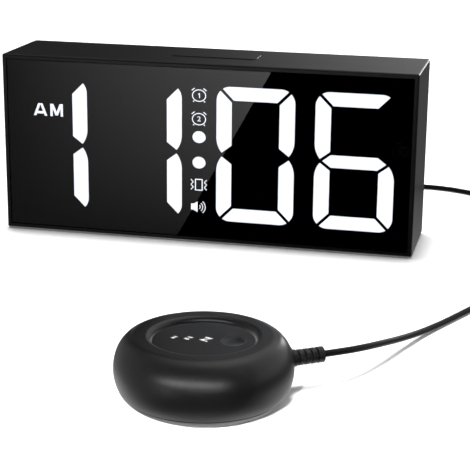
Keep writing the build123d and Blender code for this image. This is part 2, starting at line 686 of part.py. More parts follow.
def snooze_bar():
    """Top bar whose lip is stopped by the top wall, with a stem into its switch."""
    cap = snooze_prism(0.0, TOP_IN, CASE_Z1 + SNOOZE_PROUD)
    cap = fillet(cap.faces().sort_by(Axis.Z)[-1].edges(), SNOOZE_PROUD)
    lip = snooze_prism(SNOOZE_LIP, TOP_IN - FLANGE_T, TOP_IN)
    stem = rod_z(0, SNOOZE_Y, SNOOZE_SWITCH_Z1 - STEM_IN, TOP_IN - FLANGE_T, STEM_R)
    return cap + lip + stem


def snooze_switch():
    half = SWITCH_W / 2
    body = block(-half, half, SNOOZE_Y - half, SNOOZE_Y + half, SNOOZE_BOARD_Z1, SNOOZE_SWITCH_Z1)
    return body - rod_z(0, SNOOZE_Y, SNOOZE_SWITCH_Z1 - BORE_DEPTH, SNOOZE_SWITCH_Z1, STEM_R + STEM_FIT)


def snooze_board():
    reach = SNOOZE_BOSS_X + SNOOZE_BOSS_R
    board = block(-reach, reach, SNOOZE_Y - SNOOZE_BOARD_D / 2, SNOOZE_Y + SNOOZE_BOARD_D / 2,
                  SNOOZE_BOARD_Z0, SNOOZE_BOARD_Z1)
    for x in (-SNOOZE_BOSS_X, SNOOZE_BOSS_X):
        board -= rod_z(x, SNOOZE_Y, SNOOZE_BOARD_Z0, SNOOZE_BOARD_Z1, SCREW_R + SCREW_FIT)
    return board


def snooze_board_screws():
    length = TOP_IN - SNOOZE_BOARD_Z0
    return Compound([pan_screw_z(x, SNOOZE_Y, SNOOZE_BOARD_Z0, -1, length).solid()
                     for x in (-SNOOZE_BOSS_X, SNOOZE_BOSS_X)])


# Shaker puck

def at_puck(shape):
    return Pos(PUCK_X, PUCK_Y, 0) * shape


def pebble(inset):
    """The puck's outer form, or with an inset the hollow inside it, turned about its axis."""
    base, crest = PUCK_BASE_R, PUCK_CREST_R
    low, high = PUCK_WIDE_Z - PAD_T - inset, PUCK_H - PUCK_WIDE_Z - inset
    foot = EllipticalCenterArc((base, PUCK_WIDE_Z), PUCK_R - base - inset, low, -90, arc_size=90)
    shoulder = EllipticalCenterArc((crest, PUCK_WIDE_Z), PUCK_R - crest - inset, high, 0, arc_size=90)
    flat = Polyline((crest, PUCK_WIDE_Z + high), (0, PUCK_WIDE_Z + high), (0, PUCK_WIDE_Z - low),
                    (base, PUCK_WIDE_Z - low))
    return revolve(Plane.XZ * make_face([foot, shoulder, flat]), Axis.Z)


def puck_dish():
    """The sunk place of the button: a flat ring whose rounded edge drops to the button's hole."""
    hole = DISC_R + DISC_GAP
    rim = EllipticalCenterArc((hole + RIM_R, DISC_Z), RIM_R, PUCK_H - DISC_Z, 90, arc_size=90)
    rest = Polyline((hole, DISC_Z), (hole, LIP_Z), (0, LIP_Z), (0, PUCK_H), (hole + RIM_R, PUCK_H))
    return revolve(Plane.XZ * make_face([rim, rest]), Axis.Z)


def relief_rod(r0, r1, radius):
    """A round bar along the cord's way out of the puck, between two distances from its axis."""
    way = (math.cos(math.radians(RELIEF_ANGLE)), math.sin(math.radians(RELIEF_ANGLE)), 0)
    start = (way[0] * r0, way[1] * r0, RELIEF_Z)
    return extrude(Plane(origin=start, z_dir=way) * Circle(radius), r1 - r0)


def puck_posts():
    return [(PUCK_POST_AT * math.cos(math.radians(a)), PUCK_POST_AT * math.sin(math.radians(a)))
            for a in PUCK_POST_ANGLES]


def above(z):
    return block(-2 * PUCK_R, 2 * PUCK_R, -2 * PUCK_R, 2 * PUCK_R, z, 2 * PUCK_H)


def below(z):
    return block(-2 * PUCK_R, 2 * PUCK_R, -2 * PUCK_R, 2 * PUCK_R, -PUCK_H, z)


def shaker_top_shell():
    """Upper shell: top with the button's sunk hole, screw posts and the boss for the strain relief."""
    hollow = pebble(PUCK_WALL) & below(LIP_Z)
    shell = pebble(0.0) - puck_dish()
    shell += relief_rod(RELIEF_IN, RELIEF_OUT, RELIEF_BOSS_R)
    shell -= hollow - relief_rod(RELIEF_IN, RELIEF_OUT, RELIEF_BOSS_R)
    for x, y in puck_posts():
        shell += rod_z(x, y, PUCK_POST_Z0, LIP_Z, PUCK_POST_R)
        shell -= rod_z(x, y, PUCK_POST_Z0, PUCK_POST_Z0 + SCREW_L, SCREW_R + SCREW_FIT)
    shell -= relief_rod(0, RELIEF_OUT, RELIEF_NECK_R + SCREW_FIT)
    shell &= above(PUCK_PART_Z)
    drop = (PUCK_WIDE_Z - PUCK_PART_Z) / (PUCK_WIDE_Z - PAD_T)
    seam_r = PUCK_BASE_R + (PUCK_R - PUCK_BASE_R) * math.sqrt(1 - drop ** 2) - SEAM_DEPTH
    seam = rod_z(0, 0, PUCK_PART_Z, PUCK_PART_Z + SEAM_H, PUCK_R)
    shell -= seam - rod_z(0, 0, PUCK_PART_Z, PUCK_PART_Z + SEAM_H, seam_r)
    return at_puck(shell)


def shaker_bottom_shell():
    """Lower shell: shallow dish with the motor's cradle, the board's standoffs and the screw bosses."""
    shell = pebble(0.0) - pebble(PUCK_WALL)
    shell &= below(PUCK_PART_Z)
    feet = MOTOR_R + CLAMP_T + CLAMP_FOOT
    cradle = block(MOTOR_X0 + MOTOR_L / 2 - CLAMP_W / 2, MOTOR_X0 + MOTOR_L / 2 + CLAMP_W / 2,
                   -feet, feet, PUCK_FLOOR, MOTOR_Z)
    shell += cradle - motor_can(MOTOR_R)
    for y in board_screw_places():
        shell += rod_z(0, y, PUCK_FLOOR, PUCK_BOARD_Z, STANDOFF_R)
        shell -= rod_z(0, y, PUCK_FLOOR, PUCK_BOARD_Z, SCREW_R + SCREW_FIT)
    for y in clamp_screw_places():
        shell -= rod_z(MOTOR_X0 + MOTOR_L / 2, y, PUCK_FLOOR, MOTOR_Z, SCREW_R + SCREW_FIT)
    for x, y in puck_posts():
        shell += rod_z(x, y, PUCK_FLOOR, PUCK_POST_Z0, PUCK_POST_R + WELL_WALL) & pebble(PUCK_WALL)
        shell -= rod_z(x, y, 0, PUCK_POST_Z0, SCREW_R + SCREW_FIT)
        shell -= rod_z(x, y, 0, PUCK_FLOOR + HEAD_T / 2, HEAD_R + FIT)
    return at_puck(shell)


def motor_can(radius):
    return Pos(MOTOR_X0 + MOTOR_L / 2, 0, MOTOR_Z) * Rot(0, 90, 0) * Cylinder(radius, MOTOR_L)


def shaft_rod(x0, x1, radius):
    return Pos((x0 + x1) / 2, 0, MOTOR_Z) * Rot(0, 90, 0) * Cylinder(radius, x1 - x0)


def vibration_motor():
    """Motor can with its bearing nose, bored for the shaft."""
    end = MOTOR_X0 + MOTOR_L
    can = fillet(motor_can(MOTOR_R).edges(), 3 * SHAFT_R / 4)
    can += shaft_rod(end, end + WEIGHT_GAP / 2, 2 * SHAFT_R)
    return at_puck(can - shaft_rod(MOTOR_X0 + MOTOR_L / 4, end + WEIGHT_GAP / 2, SHAFT_R + SHAFT_FIT))


def motor_shaft():
    end = MOTOR_X0 + MOTOR_L
    return at_puck(shaft_rod(MOTOR_X0 + MOTOR_L / 4, end + SHAFT_OUT, SHAFT_R))


def eccentric_weight():
    """Half disc on a hub: its turning is what shakes the puck."""
    start = MOTOR_X0 + MOTOR_L + WEIGHT_GAP
    half = shaft_rod(start, start + WEIGHT_L, WEIGHT_R)
    half &= block(start, start + WEIGHT_L, -WEIGHT_R, WEIGHT_R, MOTOR_Z - WEIGHT_R, MOTOR_Z)
    hub = shaft_rod(start, start + WEIGHT_L, 2 * SHAFT_R)
    return at_puck(half + hub - shaft_rod(start, start + WEIGHT_L, SHAFT_R))


def clamp_screw_places():
    reach = MOTOR_R + CLAMP_T + CLAMP_FOOT / 2
    return (-reach, reach)


def motor_clamp():
    """Saddle that holds the motor down on its cradle."""
    x, feet = MOTOR_X0 + MOTOR_L / 2, MOTOR_R + CLAMP_T + CLAMP_FOOT
    span = block(x - CLAMP_W / 2, x + CLAMP_W / 2, -feet, feet, MOTOR_Z, MOTOR_Z + CLAMP_T)
    arch = Pos(x, 0, MOTOR_Z) * Rot(0, 90, 0) * Cylinder(MOTOR_R + CLAMP_T, CLAMP_W)
    arch &= above(MOTOR_Z)
    clamp = span + arch - motor_can(MOTOR_R)
    for y in clamp_screw_places():
        clamp -= rod_z(x, y, MOTOR_Z, MOTOR_Z + CLAMP_T, SCREW_R + SCREW_FIT)
    return at_puck(clamp)


def clamp_screws():
    x, seat = MOTOR_X0 + MOTOR_L / 2, MOTOR_Z + CLAMP_T
    return at_puck(Compound([pan_screw_z(x, y, seat, 1, SCREW_L / 2).solid() for y in clamp_screw_places()]))


def board_screw_places():
    reach = PUCK_BOARD_L / 2 - STANDOFF_R
    return (-reach, reach)


def shaker_board():
    board = block(-PUCK_BOARD_W / 2, PUCK_BOARD_W / 2, -PUCK_BOARD_L / 2, PUCK_BOARD_L / 2,
                  PUCK_BOARD_Z, PUCK_SWITCH_Z0)
    for y in board_screw_places():
        board -= rod_z(0, y, PUCK_BOARD_Z, PUCK_SWITCH_Z0, SCREW_R + SCREW_FIT)
    return at_puck(board)


def shaker_board_screws():
    return at_puck(Compound([pan_screw_z(0, y, PUCK_SWITCH_Z0, 1, SCREW_L).solid()
                             for y in board_screw_places()]))


def shaker_switch():
    half, top = PUCK_SWITCH_W / 2, PUCK_SWITCH_Z0 + PUCK_SWITCH_T
    body = block(-half, half, -half, half, PUCK_SWITCH_Z0, top)
    return at_puck(body - rod_z(0, 0, top - PUCK_BORE_DEPTH, top, PUCK_STEM_R + STEM_FIT))


def shaker_button():
    """The puck's round top, pressed as a whole, with a dimple for the finger."""
    top = PUCK_SWITCH_Z0 + PUCK_SWITCH_T
    disc = rod_z(0, 0, LIP_Z, DISC_Z, DISC_R)
    disc = fillet(disc.edges().sort_by(Axis.Z)[-1], DISC_GAP)
    lip = rod_z(0, 0, LIP_Z - FLANGE_T, LIP_Z, DISC_R + DISC_LIP)
    lip -= rod_z(0, 0, LIP_Z - FLANGE_T, LIP_Z, DISC_R - 2 * DISC_LIP)
    stem = rod_z(0, 0, top - STEM_IN / 2, LIP_Z, PUCK_STEM_R)
    ball = (DIMPLE_R ** 2 + DIMPLE_DEPTH ** 2) / (2 * DIMPLE_DEPTH)
    dimple = Pos(DIMPLE_X, DIMPLE_Y, DISC_Z - DIMPLE_DEPTH + ball) * Sphere(ball)
    return at_puck(disc + lip + stem - dimple)


def shaker_screws():
    seat = PUCK_FLOOR + HEAD_T / 2
    return at_puck(Compound([pan_screw_z(x, y, seat, -1, SCREW_L).solid() for x, y in puck_posts()]))


def shaker_pad():
    """Grip pad that the puck stands on."""
    pad = rod_z(0, 0, 0, PAD_T, PAD_R)
    return at_puck(chamfer(pad.edges().sort_by(Axis.Z)[0], PAD_T / 4))


def strain_relief():
    """Ribbed boot, held in the shell's boss between a flange and a collar."""
    boot = relief_rod(RELIEF_IN - FLANGE_T, RELIEF_IN, RELIEF_FLANGE_R)
    boot += relief_rod(RELIEF_IN, RELIEF_OUT, RELIEF_NECK_R)
    boot += relief_rod(RELIEF_OUT, RELIEF_OUT + RELIEF_COLLAR_L, RELIEF_COLLAR_R)
    boot += relief_rod(RELIEF_OUT + RELIEF_COLLAR_L, RELIEF_END - RELIEF_END_L, RELIEF_CORE_R)
    for i in range(RELIEF_RIBS):
        start = RELIEF_OUT + RELIEF_COLLAR_L + RELIEF_GROOVE + i * (RELIEF_RIB + RELIEF_GROOVE)
        boot += relief_rod(start, start + RELIEF_RIB, RELIEF_RIB_R)
    boot += relief_rod(RELIEF_END - RELIEF_END_L, RELIEF_END, RELIEF_RIB_R)
    return at_puck(boot)


# Cord

def heading(degrees):
    return Vector(math.cos(math.radians(degrees)), math.sin(math.radians(degrees)), 0)


def biarc(p0, t0, p1, t1):
    """Two arcs that leave p0 along t0 and reach p1 along t1."""
    v, t = p1 - p0, t0 + t1
    a, b, c = 2 * (1 - t0.dot(t1)), 2 * v.dot(t), -v.dot(v)
    d = (-b + math.sqrt(b * b - 4 * a * c)) / (2 * a)
    q0, q1 = p0 + t0 * d, p1 - t1 * d
    joint = (q0 + q1) * 0.5
    return [TangentArc(p0, joint, tangent=t0), TangentArc(joint, p1, tangent=(q1 - q0).normalized())]


def coil_path():
    """The coil's line: half turns that spiral in and out, climbing a layer where the spiral reverses."""
    along = heading(COIL_HEADING)          # travel on the side where the coil starts
    out = heading(COIL_HEADING - 90)       # from the coil's middle to that side
    up = Vector(0, 0, 1)
    centre = Vector(COIL_X, COIL_Y, COIL_Z0)
    place, side, radius = COIL_R, 1, COIL_R

    def at(s, z):
        return centre + out * s + up * (z * COIL_STEP)

    lead = at(place, 0) - along * CORD_D
    edges = [Line(lead, at(place, 0))]
    for layer in range(COIL_LAYERS):
        inward = layer % 2 == 0
        last = layer == COIL_LAYERS - 1
        for i in range(COIL_HALVES - 1 if last else COIL_HALVES):
            end = place - side * 2 * radius
            top = at((place + end) / 2, layer) + along * (side * radius)
            edges.append(ThreePointArc(at(place, layer), top, at(end, layer)))
            place, side = end, -side
            radius += -COIL_STEP / 2 if inward else COIL_STEP / 2
        if last:
            break
        end = place - side * 2 * radius
        slope = math.radians(CLIMB_SLOPE)
        top = at((place + end) / 2, layer + 0.5) + along * (side * radius)
        tilt = out * (-side * math.cos(slope)) + up * math.sin(slope)
        edges += biarc(at(place, layer), along * side, top, tilt)
        edges += biarc(top, tilt, at(end, layer + 1), along * -side)
        place, side = end, -side
        radius += COIL_STEP / 2 if inward else -COIL_STEP / 2
    turn = math.radians(COIL_LEAVE)
    hub = at(place - side * radius, layer)

    def round_hub(angle):
        return hub + out * (side * radius * math.cos(angle)) + along * (side * radius * math.sin(angle))

    edges.append(ThreePointArc(at(place, layer), round_hub(turn / 2), round_hub(turn)))
    way = (along * math.cos(turn) - out * math.sin(turn)) * side
    leave = round_hub(turn) + way * CORD_D
    edges.append(Line(round_hub(turn), leave))
    return Wire(edges), lead, along, leave, way


def least_gap(path):
    """The least clear distance between turns, on points a quarter diameter apart."""
    count = int(path.length / (CORD_R / 2))
    points = [path.position_at(i / count) for i in range(count + 1)]
    cells = {}
    for i, p in enumerate(points):
        cells.setdefault((int(p.X // CORD_D), int(p.Y // CORD_D), int(p.Z // CORD_D)), []).append(i)
    apart, least = int(3 * CORD_D / (path.length / count)), math.inf
    reach = range(-2, 3)
    for (a, b, c), here in cells.items():
        near = [j for dx in reach for dy in reach for dz in reach
                for j in cells.get((a + dx, b + dy, c + dz), ())]
        for i in here:
            for j in near:
                if j > i + apart:
                    least = min(least, (points[i] - points[j]).length)
    return least - CORD_D


def tube(path, start, way):
    """A round tube along a path, with its volume set against section times length."""
    solid = sweep(Plane(origin=start, z_dir=way) * Circle(CORD_R), path=path)
    expected = math.pi * CORD_R ** 2 * path.length
    print(f"tube {path.length:.1f} long, volume over section times length {solid.volume / expected:.4f}")
    return solid


def route_path(points):
    """Straight runs joined by tangent arcs, each as large as its two runs allow."""
    points = [Vector(*p) for p in points]
    radii = []
    for before, corner, after in zip(points, points[1:], points[2:]):
        turn = (corner - before).get_angle(after - corner)
        shorter = min((corner - before).length, (after - corner).length)
        radii.append(BEND_SHARE * shorter / math.tan(math.radians(turn / 2)))
    print("radii", [round(r, 1) for r in radii])
    return FilletPolyline(*points, radius=radii)


def relief_mouth():
    way = heading(RELIEF_ANGLE)
    return Vector(PUCK_X, PUCK_Y, RELIEF_Z) + way * RELIEF_END, way


def cord_from_shaker(coil_start, coil_way):
    """From the strain relief down to the floor and along it to the coil."""
    mouth, way = relief_mouth()
    first, last = mouth + way * RELIEF_RUN, coil_start - coil_way * COIL_IN_RUN
    return tube(route_path([mouth, first, *LEAD_ROUTE, last, coil_start]), mouth, way)


def cord_to_clock(coil_end, coil_way):
    """From the top of the coil down to the floor, round behind the clock and up to its plug."""
    plug = Vector(JACK_X, PLUG_END, JACK_Z)
    first, last = coil_end + coil_way * COIL_OUT_RUN, plug + Vector(0, PLUG_RUN, 0)
    return tube(route_path([coil_end, first, *TAIL_ROUTE, last, plug]), coil_end, coil_way)


def cord_tie():
    """Strap round the coil's turns where they lie level."""
    out, along = heading(COIL_HEADING + 90), heading(COIL_HEADING)
    sag = (TIE_W / 2) ** 2 / COIL_R
    inner_s = COIL_R - COIL_HALVES / 2 * COIL_STEP - COIL_STEP - CORD_R - sag - TIE_GAP
    outer_s = COIL_R + CORD_R + TIE_GAP
    high = TIE_T + 2 * TIE_GAP + CORD_D + (COIL_LAYERS - 1) * COIL_STEP
    plane = Plane(origin=(COIL_X, COIL_Y, 0), x_dir=out, z_dir=along)
    rise = -1 if plane.y_dir.Z < 0 else 1
    middle = Pos((inner_s + outer_s) / 2, rise * (TIE_T + high) / 2)
    hole = middle * RectangleRounded(outer_s - inner_s, high - TIE_T, CORD_R)
    strap = middle * RectangleRounded(outer_s - inner_s + 2 * TIE_T, high + TIE_T, CORD_R + TIE_T) - hole
    return extrude(plane * strap, TIE_W / 2, both=True)


def jack_plug():
    """Moulded plug body with a ribbed grip and a tapered tail."""
    grip = rod_y(JACK_X, JACK_Z, PLUG_Y0, PLUG_Y1, PLUG_R)
    pitch = PLUG_RIB + PLUG_GROOVE
    first = (PLUG_Y0 + PLUG_Y1 - PLUG_RIBS * pitch + PLUG_GROOVE) / 2
    for i in range(PLUG_RIBS):
        grip += rod_y(JACK_X, JACK_Z, first + i * pitch, first + i * pitch + PLUG_RIB, PLUG_GRIP_R)
    tail = Pos(JACK_X, (PLUG_Y1 + PLUG_END) / 2, JACK_Z) * Rot(-90, 0, 0)
    return grip + tail * Cone(PLUG_TAIL_R, PLUG_TAIL_END_R, PLUG_TAIL_L)


def jack_pin():
    return rod_y(JACK_X, JACK_Z, PLUG_Y0 - PLUG_PIN_L, PLUG_Y0, PLUG_PIN_R)


def main():
    coil, coil_start, coil_in, coil_end, coil_out = coil_path()
    print(f"coil: least gap to itself {least_gap(coil):.2f}")
    nodes = {
        "front_housing": front_housing(), "front_lens": front_lens(),
        "display_reflector": display_reflector(),
        "hour_tens_lit": lit_digit(0), "hour_units_lit": lit_digit(1),
        "minute_tens_lit": lit_digit(2), "minute_units_lit": lit_digit(3),
        "unlit_segments": unlit_segments(), "colon_lights": diffusers(colon_faces()),
        "indicator_windows": diffusers(icon_faces()), "leds": leds(), "led_board": led_board(),
        "ribbon_cable": ribbon_cable(), "control_board": control_board(),
        "control_board_screws": control_board_screws(), "button_switches": button_switches(),
        "rear_cover": rear_cover(), "cover_screws": cover_screws(), "rubber_feet": rubber_feet(),
        "battery_door": battery_door(), "battery_contact": battery_contact(), "coin_cell": coin_cell(),
        "speaker": speaker(), "dc_inlet": dc_inlet(), "shaker_jack": shaker_jack(),
        "snooze_bar": snooze_bar(), "snooze_switch": snooze_switch(), "snooze_board": snooze_board(),
        "snooze_board_screws": snooze_board_screws(),
        "shaker_top_shell": shaker_top_shell(), "shaker_bottom_shell": shaker_bottom_shell(),
        "shaker_button": shaker_button(), "shaker_switch": shaker_switch(), "shaker_board": shaker_board(),
        "shaker_board_screws": shaker_board_screws(), "vibration_motor": vibration_motor(),
        "motor_shaft": motor_shaft(), "eccentric_weight": eccentric_weight(), "motor_clamp": motor_clamp(),
        "clamp_screws": clamp_screws(), "shaker_screws": shaker_screws(), "shaker_pad": shaker_pad(),
        "strain_relief": strain_relief(),
        "cord_from_shaker": cord_from_shaker(coil_start, coil_in),
        "cord_coil": tube(coil, coil_start, coil_in),
        "cord_to_clock": cord_to_clock(coil_end, coil_out), "cord_tie": cord_tie(),
        "jack_plug": jack_plug(), "jack_pin": jack_pin()}
    for name, x in zip(BUTTON_NAMES, button_places()):
        nodes[f"{name}_button"] = press_button(x)
    for name, (x, travel) in SLIDE_SWITCHES.items():
        nodes[f"{name}_switch_body"] = slide_body(x, travel)
        nodes[f"{name}_switch_knob"] = slide_knob(x, travel)
    os.makedirs("parts", exist_ok=True)
    for name, solid in nodes.items():
        export_step(Pos(0, FRAME_Y, 0) * solid, f"parts/{name}.step")
    print(len(nodes), "nodes")


main()
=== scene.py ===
# %% [markdown]
# # Bed shaker alarm clock
# A tabletop LED clock, a round shaker puck that lies under a pillow, and the thin cord that joins them.
# The shapes that have a size come from CAD and are loaded as a fixed frame. This lesson gives them their
# finishes, and models what CAD leaves to Blender: the cord, the lit signs, the printing, the screws with
# their crosses, and a low ridge for the finger.

# %% Load the frame
import math
import bpy
from mathutils import Matrix, Vector


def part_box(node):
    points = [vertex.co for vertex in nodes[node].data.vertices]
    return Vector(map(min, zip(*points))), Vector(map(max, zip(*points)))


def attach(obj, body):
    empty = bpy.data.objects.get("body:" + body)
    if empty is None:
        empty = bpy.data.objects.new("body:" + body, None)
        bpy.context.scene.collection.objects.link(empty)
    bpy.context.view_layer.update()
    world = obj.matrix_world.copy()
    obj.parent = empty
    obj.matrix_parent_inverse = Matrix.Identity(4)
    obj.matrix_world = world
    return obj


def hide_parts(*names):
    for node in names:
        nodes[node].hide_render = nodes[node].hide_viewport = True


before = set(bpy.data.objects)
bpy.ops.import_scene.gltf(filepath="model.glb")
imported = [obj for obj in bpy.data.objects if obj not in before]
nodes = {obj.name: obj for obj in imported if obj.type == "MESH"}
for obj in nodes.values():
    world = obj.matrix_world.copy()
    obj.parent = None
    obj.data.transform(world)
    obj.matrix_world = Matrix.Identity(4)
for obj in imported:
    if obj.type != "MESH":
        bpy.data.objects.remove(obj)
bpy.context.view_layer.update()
ROOT = "clock_and_shaker"
MM = 0.001

# %% [markdown]
# ## Camera
# A product picture is taken from a few steps away with a long lens, so that upright edges stay upright.
# The camera stands to the clock's right, looks down on it a little, and leans by half a degree. A camera at
# rest looks down, so it is tipped up from there, turned about the upright axis, and rolled about its own.

# %% Camera
CAMERA_PLACE = (0.1752, -0.5876, 0.2113)
CAMERA_TURN = 13.17
CAMERA_TILT = 16.46
CAMERA_ROLL = 0.585
CAMERA_LENS = 111.17
CAMERA_REACH = 20

bpy.ops.object.select_all(action="DESELECT")
bpy.ops.object.camera_add(location=CAMERA_PLACE)
camera = bpy.context.object
turn = Matrix.Rotation(math.radians(CAMERA_TURN), 4, "Z")
tip = Matrix.Rotation(math.radians(90 - CAMERA_TILT), 4, "X")
roll = Matrix.Rotation(math.radians(CAMERA_ROLL), 4, "Z")
camera.rotation_euler = (turn @ tip @ roll).to_euler()
camera.data.lens = CAMERA_LENS
camera.data.clip_end = CAMERA_REACH
bpy.context.scene.camera = camera
bpy.context.view_layer.update()
print("camera", [round(v, 3) for v in camera.location], "lens", camera.data.lens, "mm")

# %% [markdown]
# ## Cord
# The shaker's lead is 1.8 m of thin round cord. It drops from the ribbed boot to the table, runs along it,
# lies in a tied coil beside the clock, and goes round the back to a plug. One NURBS curve follows the whole
# way: it is smooth by itself, and its bevel gives the round sheath. The sheath's radius sits on the points,
# with a bevel of one, because Blender counts a point's radius in the curve's box. The coil's points come from
# a loop, half a turn at a time, each half a little smaller or larger than the last, so the turns lie beside
# each other. The spline runs inside its points, so the coil's points lie a little further out than its turns.

# %% Route of the cord
CORD_D = 0.0027
BOOT_MOUTH = (0.0904, -0.0774, 0.012)
LEAD_POINTS = [
    BOOT_MOUTH, (0.097, -0.0728, 0.012), (0.104, -0.0629, 0.0106), (0.1099, -0.0491, 0.008),
    (0.1156, -0.0333, 0.0048), (0.1217, -0.0172, 0.0023), (0.1284, -0.0025, 0.00135),
    (0.1351, 0.0114, 0.00135), (0.142, 0.0259, 0.00135), (0.1494, 0.0411, 0.00135),
    (0.1576, 0.0569, 0.0018)]
TAIL_POINTS = [
    (0.172, 0.132, 0.0082), (0.1682, 0.148, 0.0034), (0.165, 0.1645, 0.00135), (0.1602, 0.1815, 0.00135),
    (0.1516, 0.1979, 0.00135), (0.139, 0.2119, 0.00135), (0.1242, 0.2219, 0.00135),
    (0.1086, 0.2283, 0.00135), (0.0934, 0.2295, 0.00135), (0.0802, 0.2229, 0.0026),
    (0.0706, 0.2119, 0.008), (0.0644, 0.1981, 0.0146), (0.062, 0.1819, 0.02), (0.062, 0.1684, 0.02)]
print(len(LEAD_POINTS), "points before the coil,", len(TAIL_POINTS), "after it")

# %% Turns of the coil
COIL_MIDDLE = Vector((0.159, 0.0995, 0.0025))
COIL_R = 0.0207
COIL_STEP = 0.0032
COIL_HALVES = 6
COIL_LAYERS = 4
COIL_HEADING = math.radians(57)
COIL_LEAVE = math.radians(53)
HALF_POINTS = 12
ALONG = Vector((math.cos(COIL_HEADING), math.sin(COIL_HEADING), 0))
OUT = Vector((ALONG.y, -ALONG.x, 0))
UP = Vector((0, 0, 1))
SPLINE_DRAW_IN = 1 / (0.75 + 0.25 * math.cos(math.pi / HALF_POINTS))


def half_turn(place, side, radius, layer, climb=0.0, sweep=math.pi):
    """Points round half a turn, from its start up to the start of the next."""
    hub = COIL_MIDDLE + OUT * (place - side * radius) + UP * (layer * COIL_STEP)
    wide = radius * side * SPLINE_DRAW_IN
    steps = round(HALF_POINTS * sweep / math.pi)
    points = []
    for i in range(steps):
        angle = sweep * (i + 0.5) / steps
        rise = climb * COIL_STEP * (1 - math.cos(angle)) / 2
        points.append(hub + OUT * (wide * math.cos(angle)) + ALONG * (wide * math.sin(angle)) + UP * rise)
    return points


def coil_points():
    """Layer after layer, winding in and then out again."""
    points, place, side, radius = [], COIL_R, 1, COIL_R
    for layer in range(COIL_LAYERS):
        step = COIL_STEP / 2 if layer % 2 else -COIL_STEP / 2
        top = layer == COIL_LAYERS - 1
        for _ in range(COIL_HALVES - 1 if top else COIL_HALVES):
            points += half_turn(place, side, radius, layer)
            place, side, radius = place - side * 2 * radius, -side, radius + step
        last = {"sweep": COIL_LEAVE} if top else {"climb": 1.0}
        points += half_turn(place, side, radius, layer, **last)
        place, side, radius = place - side * 2 * radius, -side, radius - step
    return points


turns = coil_points()
print(len(turns), "points in the coil, which lies", round(turns[0].z / MM, 1), "mm above the table")

# %% Cord as one curve
LINE_STEPS, SHEATH_STEPS = 5, 4

cord_line = bpy.data.curves.new("shaker_cord", "CURVE")
cord_line.dimensions = "3D"
spline = cord_line.splines.new("NURBS")
route = [Vector(p) for p in LEAD_POINTS] + turns + [Vector(p) for p in TAIL_POINTS]
spline.points.add(len(route) - 1)
for point, place in zip(spline.points, route):
    point.co = (*place, 1)
    point.radius = CORD_D / 2
spline.order_u = 3
spline.use_endpoint_u = True
spline.resolution_u = LINE_STEPS
cord_line.bevel_depth = 1.0
cord_line.bevel_resolution = SHEATH_STEPS
cord_line.use_fill_caps = True
cord = bpy.data.objects.new("shaker_cord", cord_line)
bpy.context.scene.collection.objects.link(cord)
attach(cord, ROOT)
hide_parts("cord_from_shaker", "cord_coil", "cord_to_clock")
print("cord of", len(route), "points,", round(spline.calc_length(), 3), "m long")

# %% [markdown]
# ## Building a finish
# Every finish here is a small tree of nodes on the Principled shader. A moulded or drawn surface is never
# one even colour: its tint and its shine drift a little over the piece, and a fine grain breaks up the
# highlights. These helpers add one such step each. They read Object coordinates, which are metres in the
# frame, so a grain of half a millimetre is half a millimetre on every piece. What is the same all over a
# piece is a number on the shader's own socket.

# %% Materials and their nodes
def set_sockets(node, **sockets):
    """Sets sockets by their names, with _ for each space."""
    for socket, value in sockets.items():
        node.inputs[socket.replace("_", " ")].default_value = value


def new_finish(name, **sockets):
    """A material and its Principled shader, with some of its sockets set."""
    finish = bpy.data.materials.new(name)
    finish.use_nodes = True
    shader = finish.node_tree.nodes["Principled BSDF"]
    set_sockets(shader, **sockets)
    return finish, shader


def add_node(finish, kind, **sockets):
    """A node of that kind with some of its sockets set."""
    node = finish.node_tree.nodes.new(kind)
    set_sockets(node, **sockets)
    return node


def join(finish, start, end):
    """A link from an output to an input."""
    finish.node_tree.links.new(start, end)


# %% Steps of a finish
NOISE_LOW, NOISE_HIGH = 0.3, 0.7
# A Mix node repeats its sockets for each kind of data, so those for colours go by number
MIX_COLOURS, MIX_COLOUR_OUT = (6, 7), 2


def place_on_piece(finish, stretch=(1, 1, 1), shift=(0, 0, 0), turn=(0, 0, 0)):
    """Object coordinates, moved, turned and stretched."""
    mapping = add_node(finish, "ShaderNodeMapping", Scale=stretch, Location=shift, Rotation=turn)
    join(finish, add_node(finish, "ShaderNodeTexCoord").outputs["Object"], mapping.inputs["Vector"])
    return mapping.outputs["Vector"]


def speckle(finish, place, size, detail=3.0):
    """Noise whose patches are about that size in metres."""
    noise = add_node(finish, "ShaderNodeTexNoise", Scale=1 / size, Detail=detail)
    join(finish, place, noise.inputs["Vector"])
    return noise.outputs["Fac"]


def spread(finish, factor, low, high, start=NOISE_LOW, end=NOISE_HIGH, soft=False):
    """A factor stretched to run from low to high between start and end, with soft ends if asked."""
    node = add_node(finish, "ShaderNodeMapRange", From_Min=start, From_Max=end, To_Min=low, To_Max=high)
    node.interpolation_type = "SMOOTHSTEP" if soft else "LINEAR"
    join(finish, factor, node.inputs["Value"])
    return node.outputs["Result"]


def blend_colours(finish, factor, first, second):
    """From the first colour to the second; a single number is a grey."""
    node = finish.node_tree.nodes.new("ShaderNodeMix")
    node.data_type = "RGBA"
    for socket, colour in zip(MIX_COLOURS, (first, second)):
        shade = colour if isinstance(colour, tuple) else (colour,) * 3
        node.inputs[socket].default_value = (*shade, 1)
    join(finish, factor, node.inputs[0])
    return node.outputs[MIX_COLOUR_OUT]


def relief(finish, shader, height, depth):
    """Bump of that depth in metres."""
    bump = add_node(finish, "ShaderNodeBump", Strength=1.0, Distance=depth)
    join(finish, height, bump.inputs["Height"])
    join(finish, bump.outputs["Normal"], shader.inputs["Normal"])


def dress(finish, *names):
    """Gives CAD nodes this finish in place of their plain one."""
    for name in names:
        nodes[name].data.materials.clear()
        nodes[name].data.materials.append(finish)
    print(finish.name, "on", len(names), "nodes")


